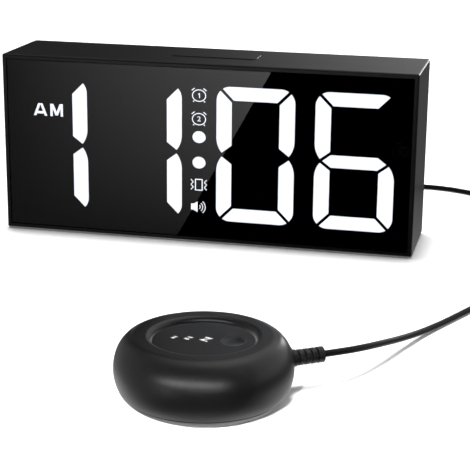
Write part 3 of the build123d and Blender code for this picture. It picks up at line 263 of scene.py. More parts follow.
# %% [markdown]
# ## Moulded plastic
# The case, the puck and the buttons are injection moulded. The mould is spark eroded, which leaves a grain
# of about half a millimetre that makes the black satin. A shiny plastic would show the studio as a mirror
# does, so the grain is what tells the eye that this is plastic. One function makes them all, and each piece
# gets its own tint, shine and grain.

# %% Moulded plastics
DRIFT_SIZE, DRIFT_DETAIL = 0.03, 4.0


def moulded(name, tint, roughness, grain, depth, **sockets):
    """Moulded plastic: tint and shine drift slowly, and a grain breaks the highlights."""
    finish, shader = new_finish(name, **sockets)
    place = place_on_piece(finish)
    drift = speckle(finish, place, DRIFT_SIZE, DRIFT_DETAIL)
    join(finish, blend_colours(finish, drift, *tint), shader.inputs["Base Color"])
    join(finish, spread(finish, drift, *roughness), shader.inputs["Roughness"])
    relief(finish, shader, speckle(finish, place, grain), depth)
    return finish


case_black = moulded("case_black", tint=(0.003, 0.0045), roughness=(0.31, 0.28),
                     grain=0.0005, depth=0.00002)
dress(case_black, "front_housing", "rear_cover", "snooze_bar", "battery_door")
button_black = moulded("button_black", tint=(0.010, 0.015), roughness=(0.48, 0.40),
                       grain=0.0003, depth=0.00002)
dress(button_black, *[name for name in nodes if name.endswith(("_button", "_knob"))])
switch_black = moulded("switch_black", tint=(0.022, 0.03), roughness=(0.55, 0.45),
                       grain=0.0002, depth=0.00001)
dress(switch_black, *[name for name in nodes if name.endswith(("_switch", "_switches", "_switch_body"))],
      "dc_inlet", "shaker_jack")
puck_black = moulded("puck_black", tint=(0.002, 0.003), roughness=(0.36, 0.28),
                     grain=0.0004, depth=0.000012)
dress(puck_black, "shaker_top_shell", "shaker_bottom_shell", "shaker_button")

# %% [markdown]
# ## Smoked lens
# The front is one polished sheet of smoke tinted acrylic. By day it is a black mirror, and what is lit
# behind it still shines through. Principled transmission with acrylic's IOR does both: the tint is the base
# colour, and Fresnel gives the mirror. The numbers sit on the shader's own sockets, so the tint stays even.

# %% Lens
ACRYLIC_IOR = 1.49
SMOKE = (0.20, 0.20, 0.21, 1)

lens_smoke, lens_shader = new_finish("lens_smoke", Base_Color=SMOKE, Roughness=0.01)
set_sockets(lens_shader, Transmission_Weight=1.0, IOR=ACRYLIC_IOR)
dress(lens_smoke, "front_lens")

# %% [markdown]
# ## Lit and unlit segments
# Each lit segment is a milky diffuser with an LED behind it. It glows almost evenly, a little less at
# places where the milk is thicker. Unlit ones are the same plastic with no light, and in the black
# moulding behind the smoked lens they can hardly be seen. They and the moulding get no specular light at
# all, because any shine back there would look like a segment that is faintly lit.

# %% Display
LIT_STRENGTH = 6.0
MILK_THICK, MILK_THIN = (0.86, 0.89, 0.93), (0.93, 0.965, 1.0)
MILK_BASE = (0.8, 0.82, 0.84, 1)
MILK_PATCH = 0.006


def glowing(name):
    """Milky plastic lit from behind."""
    finish, shader = new_finish(name, Base_Color=MILK_BASE, Emission_Strength=LIT_STRENGTH, Roughness=0.5)
    milk = speckle(finish, place_on_piece(finish), MILK_PATCH)
    join(finish, blend_colours(finish, milk, MILK_THICK, MILK_THIN), shader.inputs["Emission Color"])
    return finish


lit_white = glowing("lit_white")
dress(lit_white, "hour_tens_lit", "hour_units_lit", "minute_tens_lit", "minute_units_lit", "colon_lights")
unlit_grey = moulded("unlit_grey", tint=(0.0010, 0.0014), roughness=(0.9, 0.8),
                     grain=0.0008, depth=0.000003, Specular_IOR_Level=0.0)
dress(unlit_grey, "unlit_segments", "indicator_windows")
display_black = moulded("display_black", tint=(0.0008, 0.0012), roughness=(0.95, 0.85),
                        grain=0.0006, depth=0.000003, Specular_IOR_Level=0.0)
dress(display_black, "display_reflector")

# %% [markdown]
# ## Rubber and cord sheath
# The feet, the pad under the puck and the boot are soft rubber: dull, a little dusty, with a fine pebbled
# skin. The cord's sheath and its plug are smoother. A thin round cord mirrors the studio from all sides at
# once, which would turn it grey, so its specular level is low. All are the recipe of a moulding with other
# numbers.

# %% Rubber and sheath
rubber_black = moulded("rubber_black", tint=(0.014, 0.022), roughness=(0.8, 0.65),
                       grain=0.0007, depth=0.00005)
dress(rubber_black, "rubber_feet", "shaker_pad")
boot_black = moulded("boot_black", tint=(0.003, 0.005), roughness=(0.45, 0.36),
                     grain=0.0005, depth=0.00003)
dress(boot_black, "strain_relief")
cord_black = moulded("cord_black", tint=(0.003, 0.005), roughness=(0.30, 0.22),
                     grain=0.0006, depth=0.00001, Specular_IOR_Level=0.12)
dress(cord_black, "jack_plug")
cord.data.materials.append(cord_black)

# %% [markdown]
# ## Metal
# Drawn and rolled metal carries fine lines in the way that it was worked. Noise that is squeezed across one
# axis and stretched along another gives such lines, and the same lines vary the shine. The cell, the motor,
# the shaft, the weight and the pin each have their own tint.

# %% Metals
METAL_LINE, METAL_DETAIL, METAL_DEPTH = 0.0004, 5.0, 0.000004
ALONG_X, ALONG_Y, NO_WAY = (0.05, 1, 1), (1, 0.05, 1), (1, 1, 1)


def drawn_metal(name, tint, roughness, stretch):
    """Metal with fine lines along the axis that is stretched least."""
    finish, shader = new_finish(name, Metallic=1.0)
    lines = speckle(finish, place_on_piece(finish, stretch), METAL_LINE, METAL_DETAIL)
    join(finish, blend_colours(finish, lines, *tint), shader.inputs["Base Color"])
    join(finish, spread(finish, lines, *roughness), shader.inputs["Roughness"])
    relief(finish, shader, lines, METAL_DEPTH)
    return finish


screw_steel = drawn_metal("screw_steel", tint=(0.40, 0.55), roughness=(0.38, 0.26), stretch=ALONG_Y)
dress(screw_steel, *[name for name in nodes if name.endswith("_screws")])
cell_steel = drawn_metal("cell_steel", tint=(0.62, 0.75), roughness=(0.30, 0.18), stretch=ALONG_X)
dress(cell_steel, "coin_cell", "jack_pin")
motor_steel = drawn_metal("motor_steel", tint=(0.50, 0.62), roughness=(0.36, 0.24), stretch=ALONG_X)
dress(motor_steel, "vibration_motor", "motor_shaft", "motor_clamp")
weight_steel = drawn_metal("weight_steel", tint=(0.28, 0.38), roughness=(0.55, 0.42), stretch=NO_WAY)
dress(weight_steel, "eccentric_weight")
contact_brass = drawn_metal("contact_brass", tint=((0.62, 0.46, 0.20), (0.78, 0.62, 0.32)),
                            roughness=(0.34, 0.22), stretch=ALONG_X)
dress(contact_brass, "battery_contact")

# %% [markdown]
# ## Circuit boards
# Under the green mask of a board lie copper tracks, which show as slightly paler lines. Bands that are kept
# only in some patches read as tracks from a step away, and they lift the mask a little. The light sources on
# the display board are cream coloured chips.

# %% Bands and how to combine them
# A wave texture of scale one has a band at every step of this length
UNIT_BAND = math.pi / 10


def stripes(finish, place, pitch, kind="BANDS", way="X"):
    """Smooth bands or rings, one to every pitch."""
    wave = add_node(finish, "ShaderNodeTexWave", Scale=UNIT_BAND / pitch)
    wave.wave_type = kind
    setattr(wave, f"{kind.lower()}_direction", way)
    join(finish, place, wave.inputs["Vector"])
    return wave.outputs["Fac"]


def combine(finish, operation, first, second):
    """One factor out of two."""
    node = add_node(finish, "ShaderNodeMath")
    node.operation = operation
    join(finish, first, node.inputs[0])
    join(finish, second, node.inputs[1])
    return node.outputs["Value"]


# %% Boards
TRACK_PITCH, TRACK_PATCH, TRACK_LIFT = 0.0018, 0.008, 0.00003
PATCH_EDGE, TRACK_EDGE = (0.45, 0.5), (0.6, 0.7)
MASK_GREEN, TRACK_GREEN = (0.010, 0.085, 0.035), (0.022, 0.16, 0.06)

board_green, board_shader = new_finish("board_green", Roughness=0.35)
board_place = place_on_piece(board_green)
bands = stripes(board_green, board_place, TRACK_PITCH)
patches = spread(board_green, speckle(board_green, board_place, TRACK_PATCH), 0, 1, *PATCH_EDGE)
tracks = spread(board_green, combine(board_green, "MULTIPLY", bands, patches), 0, 1, *TRACK_EDGE)
join(board_green, blend_colours(board_green, tracks, MASK_GREEN, TRACK_GREEN),
     board_shader.inputs["Base Color"])
relief(board_green, board_shader, tracks, TRACK_LIFT)
dress(board_green, "led_board", "control_board", "snooze_board", "shaker_board")
chip_cream = moulded("chip_cream", tint=((0.72, 0.66, 0.42), (0.85, 0.79, 0.55)), roughness=(0.4, 0.3),
                     grain=0.0004, depth=0.00001)
dress(chip_cream, "leds")

# %% [markdown]
# ## Speaker, ribbon and strap
# The speaker's paper cone is pressed with rings, so its bump is a ring wave about its own middle. The ribbon
# is a row of round wires side by side, which bands across it give. The strap round the coil is woven, so
# two sets of bands cross, and the higher thread wins. In all three the same bands also tint the colour,
# darker in the grooves than on the ridges: that is painted shade.

# %% Speaker
CONE_PITCH, CONE_DEPTH = 0.003, 0.0003
CONE_GROOVE_SHADE, CONE_PALE = 0.02, 0.045


def middle_of(node):
    """The middle of a CAD node's box."""
    low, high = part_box(node)
    return (low + high) / 2


paper_black, paper_shader = new_finish("paper_black", Roughness=0.85)
cone_place = place_on_piece(paper_black, shift=-middle_of("speaker"))
rings = stripes(paper_black, cone_place, CONE_PITCH, "RINGS", "Y")
# Painted shade: the cone's colour is darker in the grooves between its rings
join(paper_black, blend_colours(paper_black, rings, CONE_GROOVE_SHADE, CONE_PALE), paper_shader.inputs["Base Color"])
relief(paper_black, paper_shader, rings, CONE_DEPTH)
dress(paper_black, "speaker")

# %% Ribbon cable and strap
WIRE_PITCH, WIRE_DEPTH = 0.00127, 0.0003
WIRE_GAP_SHADE, WIRE_PALE = 0.34, 0.55
THREAD_PITCH, THREAD_DEPTH = 0.0008, 0.0002
THREAD_GAP_SHADE, THREAD_PALE = 0.008, 0.028

ribbon_grey, ribbon_shader = new_finish("ribbon_grey", Roughness=0.45)
wires = stripes(ribbon_grey, place_on_piece(ribbon_grey), WIRE_PITCH)
# Painted shade: the grey is darker in the grooves between the wires
join(ribbon_grey, blend_colours(ribbon_grey, wires, WIRE_GAP_SHADE, WIRE_PALE), ribbon_shader.inputs["Base Color"])
relief(ribbon_grey, ribbon_shader, wires, WIRE_DEPTH)
dress(ribbon_grey, "ribbon_cable")

strap_black, strap_shader = new_finish("strap_black", Roughness=0.9, Sheen_Weight=0.3)
weave_place = place_on_piece(strap_black, turn=(0, 0, -COIL_HEADING))
weave = combine(strap_black, "MAXIMUM", stripes(strap_black, weave_place, THREAD_PITCH),
                stripes(strap_black, weave_place, THREAD_PITCH, way="DIAGONAL"))
# Painted shade: the weave is darker where a thread lies lower
join(strap_black, blend_colours(strap_black, weave, THREAD_GAP_SHADE, THREAD_PALE),
     strap_shader.inputs["Base Color"])
relief(strap_black, strap_shader, weave, THREAD_DEPTH)
dress(strap_black, "cord_tie")

# %% [markdown]
# ## Small signs on the display
# Between the hours and the minutes sit four small signs: two alarms with their numbers, one for the shaker
# and one for the sound. They are cut out of a black film in front of their windows. Flat outlines are the
# right start: circles that are inset to rings, thin strokes and a few letters, joined to one sheet and given
# a tenth of a millimetre of thickness. Each is drawn about the middle in millimetres and then stood up.
# Letters are filled at a metre's size, where Blender's fills are exact, and then shrunk.

# %% Rings and strokes
RING_SIDES = 40
STROKE_SOFTNESS, STROKE_STEPS = 0.3, 2


def start_flat():
    """Deselects everything, so that the next operator meets its own piece alone."""
    bpy.ops.object.select_all(action="DESELECT")


def keep_flat():
    """Puts the new outline's place and turn into its mesh."""
    bpy.ops.object.transform_apply(location=True, rotation=True, scale=True)
    return bpy.context.object


def ring(radius, width, x=0.0, squeeze=1.0):
    """A circle, squeezed from above, inset by its width and emptied."""
    start_flat()
    bpy.ops.mesh.primitive_circle_add(vertices=RING_SIDES, radius=radius * MM, fill_type="NGON",
                                      location=(x * MM, 0, 0))
    bpy.ops.object.mode_set(mode="EDIT")
    bpy.ops.transform.resize(value=(1, squeeze, 1))
    bpy.ops.mesh.inset(thickness=width * MM)
    bpy.ops.mesh.delete(type="FACE")
    bpy.ops.object.mode_set(mode="OBJECT")
    return keep_flat()


def stroke(length, width, x, y, angle=0.0):
    """A short line with softened ends."""
    start_flat()
    bpy.ops.mesh.primitive_plane_add(size=1, location=(x * MM, y * MM, 0),
                                     rotation=(0, 0, math.radians(angle)))
    bpy.context.object.scale = (length * MM, width * MM, 1)
    line = keep_flat()
    bpy.ops.object.mode_set(mode="EDIT")
    bpy.ops.mesh.bevel(offset=width * MM * STROKE_SOFTNESS, segments=STROKE_STEPS, affect="VERTICES")
    bpy.ops.object.mode_set(mode="OBJECT")
    return line


# %% Letters and the numeral one
CAPITAL_HEIGHT = 0.7
LETTER_STEPS = 4
# Each stroke's length, width, x and y as shares of the numeral's height, and its angle
ONE_STROKES = [(1.0, 0.17, 0.1, 0.0, 90), (0.42, 0.15, -0.04, 0.34, 40)]


def letters(words, height, x=0.0, y=0.0, wide=1.0):
    """Words as a flat mesh, centred on a place."""
    start_flat()
    bpy.ops.object.text_add()
    text = bpy.context.object
    text.data.body = words
    text.data.align_x, text.data.align_y = "CENTER", "CENTER"
    text.data.resolution_u = LETTER_STEPS
    bpy.ops.object.convert(target="MESH")
    text = bpy.context.object
    shrink = height * MM / CAPITAL_HEIGHT
    text.location, text.scale = (x * MM, y * MM, 0), (wide * shrink, shrink, shrink)
    return keep_flat()


def one(height, x=0.0):
    """The numeral one: an upright stroke and its flag."""
    return [stroke(long * height, wide * height, x + right * height, up * height, angle)
            for long, wide, right, up, angle in ONE_STROKES]


# %% Sheets
def sheet_of(name, outlines, thickness):
    """Joins flat outlines to one sheet, thickens it upwards and unites what overlaps."""
    start_flat()
    for outline in outlines:
        outline.select_set(True)
    bpy.context.view_layer.objects.active = outlines[0]
    if len(outlines) > 1:
        bpy.ops.object.join()
    sheet = bpy.context.object
    sheet.name = sheet.data.name = name
    thicken = sheet.modifiers.new("thickness", "SOLIDIFY")
    thicken.thickness = thickness * MM
    thicken.offset = 1
    bpy.ops.object.modifier_apply(modifier=thicken.name)
    if len(outlines) > 1:
        bpy.ops.object.mode_set(mode="EDIT")
        bpy.ops.mesh.select_all(action="SELECT")
        bpy.ops.mesh.intersect_boolean(operation="UNION", use_self=True, solver="EXACT")
        bpy.ops.object.mode_set(mode="OBJECT")
    return sheet


def stand(sheet, place, turn, finish, body):
    """Moves a sheet to its place, gives it its finish, and ties it to a body."""
    start_flat()
    sheet.select_set(True)
    bpy.context.view_layer.objects.active = sheet
    sheet.location, sheet.rotation_euler = place, turn
    keep_flat()
    sheet.data.materials.clear()
    sheet.data.materials.append(finish)
    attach(sheet, body)
    print(sheet.name, "with", len(sheet.data.polygons), "faces")


# %% Places of the signs
SIGN_T = 0.1
FACING_FRONT = (math.pi / 2, 0, 0)
SIGN_X = middle_of("colon_lights").x
DISPLAY_Z = middle_of("front_lens").z
window_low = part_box("indicator_windows")[0]
sign_white = glowing("sign_white")


def hang_sign(sheet, rise, x=SIGN_X):
    """Stands a lit sign in front of its window, so far above the lens's middle."""
    stand(sheet, (x, window_low.y, DISPLAY_Z + rise), FACING_FRONT, sign_white, ROOT)


print("signs stand at x", round(SIGN_X / MM, 1), "mm and y", round(window_low.y / MM, 1), "mm")

# %% Alarm signs
ALARM_RISE = {1: 0.0290, 2: 0.0172}
CLOCK_R = 3.6
CLOCK_SQUEEZE = 0.86
SIGN_LINE = 0.45
NUMBER_HEIGHT, NUMBER_WIDE = 2.5, 1.15
# Length, x, y and slope of the stroke on either side
BELL, FOOT = (2.0, 3.0, 3.05, 38), (1.0, 2.7, -2.9, 45)


def alarm_sign(number):
    """An oval bell clock with its number."""
    outlines = [ring(CLOCK_R, SIGN_LINE, squeeze=CLOCK_SQUEEZE)]
    outlines += one(NUMBER_HEIGHT) if number == 1 else [letters(str(number), NUMBER_HEIGHT, wide=NUMBER_WIDE)]
    for side in (-1, 1):
        for length, x, y, slope in (BELL, FOOT):
            outlines.append(stroke(length, SIGN_LINE, side * x, y, -side * slope))
    return sheet_of(f"alarm_{number}_sign", outlines, SIGN_T)


for number, rise in ALARM_RISE.items():
    hang_sign(alarm_sign(number), rise)

# %% Shake sign
SHAKE_RISE = -0.0162
BOX_WIDE, BOX_HIGH, BOX_LINE = 4.0, 6.0, 0.5
TEETH, TOOTH_PITCH = 4, 1.3
TOOTH_LONG, TOOTH_LINE, TOOTH_X, TOOTH_SLOPE = 1.9, 0.42, 3.45, 46


def shake_sign():
    """An upright box between two zigzag lines."""
    outlines = [stroke(BOX_WIDE, BOX_LINE, 0, side * (BOX_HIGH - BOX_LINE) / 2) for side in (-1, 1)]
    for side in (-1, 1):
        outlines.append(stroke(BOX_HIGH - BOX_LINE, BOX_LINE, side * (BOX_WIDE - BOX_LINE) / 2, 0, 90))
        for tooth in range(TEETH):
            slope = TOOTH_SLOPE if tooth % 2 else -TOOTH_SLOPE
            rise = (tooth - (TEETH - 1) / 2) * TOOTH_PITCH
            outlines.append(stroke(TOOTH_LONG, TOOTH_LINE, side * TOOTH_X, rise, side * slope))
    return sheet_of("shake_sign", outlines, SIGN_T)


hang_sign(shake_sign(), SHAKE_RISE)

# %% Sound sign
SOUND_RISE = -0.0277
MAGNET_X, MAGNET_LONG, MAGNET_HIGH = -3.3, 1.4, 3.2
HORN_LONG, HORN_FLARE = 2.0, 1.75
WAVE_X, WAVE_LINE, WAVE_REACH = -0.3, 0.4, 52
WAVE_RADII = (1.3, 2.6, 3.9)
HAIR = 0.01 * MM


def wave_front(radius):
    """The part of a ring that lies within reach of straight right."""
    front = ring(radius, WAVE_LINE, WAVE_X)
    reach = math.radians(WAVE_REACH)
    bpy.ops.object.mode_set(mode="EDIT")
    for way in (-1, 1):
        across = (math.sin(-reach), way * math.cos(reach), 0)
        bpy.ops.mesh.select_all(action="SELECT")
        bpy.ops.mesh.bisect(plane_co=(WAVE_X * MM, 0, 0), plane_no=across, clear_outer=True)
    bpy.ops.object.mode_set(mode="OBJECT")
    return front


def sound_sign():
    """A loudspeaker, drawn out of a square, with three wave fronts."""
    start_flat()
    bpy.ops.mesh.primitive_plane_add(size=1, location=(MAGNET_X * MM, 0, 0))
    bpy.context.object.scale = (MAGNET_LONG * MM, MAGNET_HIGH * MM, 1)
    horn = keep_flat()
    bpy.ops.object.mode_set(mode="EDIT")
    bpy.ops.mesh.select_all(action="DESELECT")
    bpy.ops.object.mode_set(mode="OBJECT")
    rightmost = max(v.co.x for v in horn.data.vertices)
    for edge in horn.data.edges:
        edge.select = all(horn.data.vertices[v].co.x > rightmost - HAIR for v in edge.vertices)
    bpy.ops.object.mode_set(mode="EDIT")
    bpy.ops.mesh.select_mode(type="EDGE")
    bpy.ops.mesh.extrude_region_move(TRANSFORM_OT_translate={"value": (HORN_LONG * MM, 0, 0)})
    bpy.ops.transform.resize(value=(1, HORN_FLARE, 1))
    bpy.ops.mesh.select_mode(type="VERT")
    bpy.ops.object.mode_set(mode="OBJECT")
    return sheet_of("sound_sign", [horn] + [wave_front(radius) for radius in WAVE_RADII], SIGN_T)


hang_sign(sound_sign(), SOUND_RISE)

# %% [markdown]
# ## Morning sign
# A twelve hour clock shows whether it is before or after noon. The two letters are the same on any clock. The
# built-in font is too thin for them, so they are drawn as broad strokes that run past the letters' height and
# are cut off level at their top and foot, which gives the square ends of bold capitals.

# %% Morning sign
NOON_INSET, NOON_RISE = 0.0095, 0.0175
NOON_HEIGHT = 6.3
BROAD = 1.25
NOON_LINES = [(-7.65, -4, -4.55, 4), (-1.15, -4, -4.25, 4), (-6.2, -1.5, -2.6, -1.5),
              (1.5, -4, 1.5, 4), (6.95, -4, 6.95, 4), (1.12, 5, 4.22, -2.6), (7.33, 5, 4.22, -2.6)]


def broad_stroke(x0, y0, x1, y1):
    """A stroke from point to point."""
    long, angle = math.hypot(x1 - x0, y1 - y0), math.atan2(y1 - y0, x1 - x0)
    return stroke(long, BROAD, (x0 + x1) / 2, (y0 + y1) / 2, math.degrees(angle))


noon = sheet_of("morning_sign", [broad_stroke(*line) for line in NOON_LINES], SIGN_T)
bpy.ops.object.mode_set(mode="EDIT")
for way in (-1, 1):
    bpy.ops.mesh.select_all(action="SELECT")
    bpy.ops.mesh.bisect(plane_co=(0, way * NOON_HEIGHT / 2 * MM, 0), plane_no=(0, way, 0),
                        use_fill=True, clear_outer=True)
bpy.ops.object.mode_set(mode="OBJECT")
hang_sign(noon, NOON_RISE, window_low.x + NOON_INSET)

# %% [markdown]
# ## Printing on the rear
# The controls at the rear have their usual words beside them, in pale ink. Ink is thinner than anything that
# can be modelled well, so each word stands two hundredths of a millimetre proud of the cover. It takes its
# place from the control that it names: under a button or a knob, and over a socket.

# %% Rear words
INK_T = 0.02
FACING_REAR = (math.pi / 2, 0, math.pi)
REAR_WORDS = {"time_set_button": "TIME", "alarm_1_button": "AL  ", "alarm_2_button": "AL 2",
              "hour_button": "HOUR", "minute_button": "MIN", "dimmer_button": "DIM",
              "mode_switch_knob": "MODE", "volume_switch_knob": "VOL", "dc_inlet": "DC IN",
              "shaker_jack": "SHAKER"}
SOCKETS = ("dc_inlet", "shaker_jack")
WORD_GAP = 0.0085
WORD_HEIGHT = 2.1
ONE_X = 1.9
cover_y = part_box("rear_cover")[1].y
ink_white = moulded("ink_white", tint=(0.40, 0.52), roughness=(0.6, 0.5), grain=0.0003, depth=0.000005)

for node, words in REAR_WORDS.items():
    middle = middle_of(node)
    rise = WORD_GAP if node in SOCKETS else -WORD_GAP
    outlines = [letters(words, WORD_HEIGHT)]
    if node == "alarm_1_button":
        outlines += one(WORD_HEIGHT, ONE_X)
    word = sheet_of(f"{node}_word", outlines, INK_T)
    stand(word, (middle.x, cover_y, middle.z + rise), FACING_REAR, ink_white, ROOT)

# %% [markdown]
# ## Screws
# CAD gives each screw its size, and what shows of it is the cross in its head. One screw is modelled with a
# rounded head: a cylinder whose top edge is bevelled, whose underside is inset and drawn out to the shank,
# and whose cross is cut by a Boolean. It is then copied to the places of the CAD screws.

# %% Cross of a screw
CROSS_LONG, CROSS_WIDE, CROSS_DEEP, CROSS_TAPER = 2.8, 0.7, 0.8, 0.45
DOWNWARD = -0.9


def pick_underside(piece):
    """Selects the faces that look straight down."""
    for face in piece.data.polygons:
        face.select = face.normal.z < DOWNWARD


def cross_cutter():
    """Two tapered bars that cross."""
    bars = []
    for angle in (0, 90):
        start_flat()
        bpy.ops.mesh.primitive_cube_add(size=1, rotation=(0, 0, math.radians(angle)))
        bpy.context.object.scale = (CROSS_LONG * MM, CROSS_WIDE * MM, 2 * CROSS_DEEP * MM)
        bars.append(keep_flat())
        bpy.ops.object.mode_set(mode="EDIT")
        bpy.ops.mesh.select_all(action="DESELECT")
        bpy.ops.object.mode_set(mode="OBJECT")
        pick_underside(bars[-1])
        bpy.ops.object.mode_set(mode="EDIT")
        bpy.ops.transform.resize(value=(CROSS_TAPER, CROSS_TAPER, 1))
        bpy.ops.object.mode_set(mode="OBJECT")
    return bars


# %% One screw
HEAD_R, HEAD_T, SHANK_R = 2.4, 1.4, 1.2
HEAD_SIDES, HEAD_BEVEL, BEVEL_STEPS = 48, 0.35, 4


def model_screw(length):
    """A screw along Z, with the top of its head at the origin."""
    start_flat()
    bpy.ops.mesh.primitive_cylinder_add(vertices=HEAD_SIDES, radius=HEAD_R * MM, depth=HEAD_T * MM,
                                        location=(0, 0, -HEAD_T / 2 * MM))
    screw = keep_flat()
    pick_underside(screw)
    bpy.ops.object.mode_set(mode="EDIT")
    bpy.ops.mesh.select_mode(type="FACE")
    bpy.ops.mesh.inset(thickness=(HEAD_R - SHANK_R) * MM)
    bpy.ops.mesh.extrude_region_move(TRANSFORM_OT_translate={"value": (0, 0, -length * MM)})
    bpy.ops.mesh.select_all(action="DESELECT")
    bpy.ops.mesh.select_mode(type="EDGE")
    bpy.ops.object.mode_set(mode="OBJECT")
    for edge in screw.data.edges:
        edge.select = all(screw.data.vertices[v].co.z > -HAIR for v in edge.vertices)
    bpy.ops.object.mode_set(mode="EDIT")
    bpy.ops.mesh.bevel(offset=HEAD_BEVEL * MM, segments=BEVEL_STEPS)
    bpy.ops.mesh.select_mode(type="VERT")
    bpy.ops.object.mode_set(mode="OBJECT")
    for bar in cross_cutter():
        cut = screw.modifiers.new("cross", "BOOLEAN")
        cut.object = bar
        bpy.context.view_layer.objects.active = screw
        bpy.ops.object.modifier_apply(modifier=cut.name)
        bpy.data.objects.remove(bar)
    return screw


# %% Screws of the rear cover
SMOOTH_ANGLE = math.radians(35)


def drive_in(name, node, tops, turn, length):
    """One piece of all the screws of a node, each a copy with its own mesh."""
    copies = [model_screw(length)]
    copies += [copies[0].copy() for _ in tops[1:]]
    for copy, top in zip(copies, tops):
        copy.data = copies[0].data.copy()
        if copy is not copies[0]:
            bpy.context.scene.collection.objects.link(copy)
        copy.location, copy.rotation_euler = top, turn
    start_flat()
    for copy in copies:
        copy.select_set(True)
    bpy.context.view_layer.objects.active = copies[0]
    bpy.ops.object.transform_apply(location=True, rotation=True, scale=True)
    bpy.ops.object.join()
    screws = bpy.context.object
    screws.name = screws.data.name = name
    bpy.ops.object.shade_smooth_by_angle(angle=SMOOTH_ANGLE)
    screws.data.materials.clear()
    screws.data.materials.append(screw_steel)
    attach(screws, ROOT)
    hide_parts(node)
    print(name, "with", len(copies), "screws")


screw_low, screw_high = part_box("cover_screws")
cover_places = [(x, screw_high.y, z) for x in (screw_low.x + HEAD_R * MM, screw_high.x - HEAD_R * MM)
                for z in (screw_low.z + HEAD_R * MM, screw_high.z - HEAD_R * MM)]
drive_in("cover_cross_screws", "cover_screws", cover_places, (-math.pi / 2, 0, 0),
         (screw_high.y - screw_low.y) / MM - HEAD_T)

# %% Screws under the puck
PUCK_SCREW_R = 0.0252
PUCK_SCREW_ANGLES = (95, 215, 335)
puck_middle = middle_of("shaker_top_shell")
screw_low, screw_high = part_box("shaker_screws")
puck_places = [(puck_middle.x + PUCK_SCREW_R * math.cos(math.radians(angle)),
                puck_middle.y + PUCK_SCREW_R * math.sin(math.radians(angle)), screw_low.z)
               for angle in PUCK_SCREW_ANGLES]
drive_in("shaker_cross_screws", "shaker_screws", puck_places, (math.pi, 0, 0),
         (screw_high.z - screw_low.z) / MM - HEAD_T)

# %% [markdown]
# ## Mark on the puck
# A short ink mark on the pressed top says what it does: it sends the alarm back to sleep. Three letters that
# grow are the common sign for sleep, so the mark needs no words. It lies on the round top and moves with it.

# %% Sleep mark
MARK_TURN = math.radians(-25)
MARK_PLACE = Vector((-0.005, 0.0005, 0.0))
# Height, x and y of each letter
MARK_LETTERS = [(3.4, -5.4, -2.8), (4.6, -0.8, 0.0), (6.2, 5.0, 3.4)]
press_middle, press_high = middle_of("shaker_button"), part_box("shaker_button")[1]
press_top = Vector((press_middle.x, press_middle.y, press_high.z))
sleep = sheet_of("sleep_mark", [letters("z", *letter) for letter in MARK_LETTERS], INK_T)
stand(sleep, press_top + MARK_PLACE, (0, 0, MARK_TURN), ink_white, "shaker_button")

# %% [markdown]
# ## Ridge of the dimple
# A low crescent ridge round the far side of the finger dimple tells the thumb where to stop in the dark. It
# is a thin ring, a little flatter than round, that leans forward. Its near side lies inside the round top, so
# what shows fades out on both sides by itself.

# %% Finger ridge
DIMPLE_PLACE = Vector((0.0107, 0.001, 0.0))
DIMPLE_R = 4.7
RIDGE_R = 0.3
RIDGE_STEPS, RIDGE_SIDES = 72, 16
RIDGE_LEAN = math.radians(3.0)
RIDGE_SINK = Vector((0, 0, 0.1 * MM))
RIDGE_FLAT = 0.95
ridge_base = press_top + DIMPLE_PLACE
start_flat()
bpy.ops.mesh.primitive_torus_add(major_radius=DIMPLE_R * MM, minor_radius=RIDGE_R * MM,
                                 major_segments=RIDGE_STEPS, minor_segments=RIDGE_SIDES,
                                 rotation=(RIDGE_LEAN, 0, 0), location=ridge_base - RIDGE_SINK)
ridge = keep_flat()
ridge.name = ridge.data.name = "finger_ridge"
bpy.ops.object.mode_set(mode="EDIT")
bpy.ops.mesh.select_all(action="SELECT")
bpy.ops.transform.resize(value=(1.0, 1.0, RIDGE_FLAT))
bpy.ops.object.mode_set(mode="OBJECT")
bpy.ops.object.shade_smooth()
ridge.data.materials.append(puck_black)
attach(ridge, "shaker_button")
print("ridge", round((max(v.co.z for v in ridge.data.vertices) - ridge_base.z) / MM, 2), "mm high")

# %% [markdown]
# ## Table
# The set stands on a plain pale table. The table catches soft shadows, and mirrored rays pass it by: the dark
# lens would otherwise mirror nothing but the white table in front of it. They pass the puck by as well, of
# which the lens would show a ghost beside the digits. A ray that was mirrored inside the lens comes out as a
# transmitted one, so both kinds are shut off.

# %% Puck out of the mirror
puck_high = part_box("shaker_top_shell")[1]


def belongs_to_puck(piece):
    """Whether a piece ends no further right and no further back than the puck."""
    return all(max(corner[axis] for corner in piece.bound_box) <= puck_high[axis] for axis in (0, 1))


puck_pieces = [piece for piece in bpy.context.scene.objects
               if piece.type == "MESH" and belongs_to_puck(piece)]
for piece in puck_pieces:
    piece.visible_glossy = piece.visible_transmission = False
print(len(puck_pieces), "pieces of the puck hidden from mirrored rays")

# %% Table
TABLE_SIZE = 8
CLOUD_SIZE, CLOUD_DARK, CLOUD_PALE = 0.2, 0.86, 0.9

table_pale, table_shader = new_finish("table_pale", Roughness=0.9, Specular_IOR_Level=0.2)
cloudy = speckle(table_pale, place_on_piece(table_pale), CLOUD_SIZE)
join(table_pale, blend_colours(table_pale, cloudy, CLOUD_DARK, CLOUD_PALE), table_shader.inputs["Base Color"])
start_flat()
bpy.ops.mesh.primitive_plane_add(size=TABLE_SIZE)
table = bpy.context.object
table.name = "table"
table.data.materials.append(table_pale)
table.visible_glossy = table.visible_transmission = False
print("table of", table.dimensions.x, "m")

# %% [markdown]
# ## Light
# A small softbox high above, a little behind the set, lights the table and draws short shadows towards the
# front. A wide one lower down fills them, and a narrow beam low in front clears the shade before the puck.
# A wide strip just under the camera draws the highlight on the puck's shoulder: it has to be there, because
# the shoulder's slope sends the camera's rays back to it. Light linking keeps it off the clock, whose flat
# top would mirror the strip in white to anyone who looks from behind. The clock's narrow frame round the
# lens gets a faint strip of its own, so low that the top can't mirror it. The first lamp and the beam are
# kept out of mirrored rays, where their small images would burn lines along the edges.

# %% Softboxes
BEAM_SPREAD = math.radians(10)


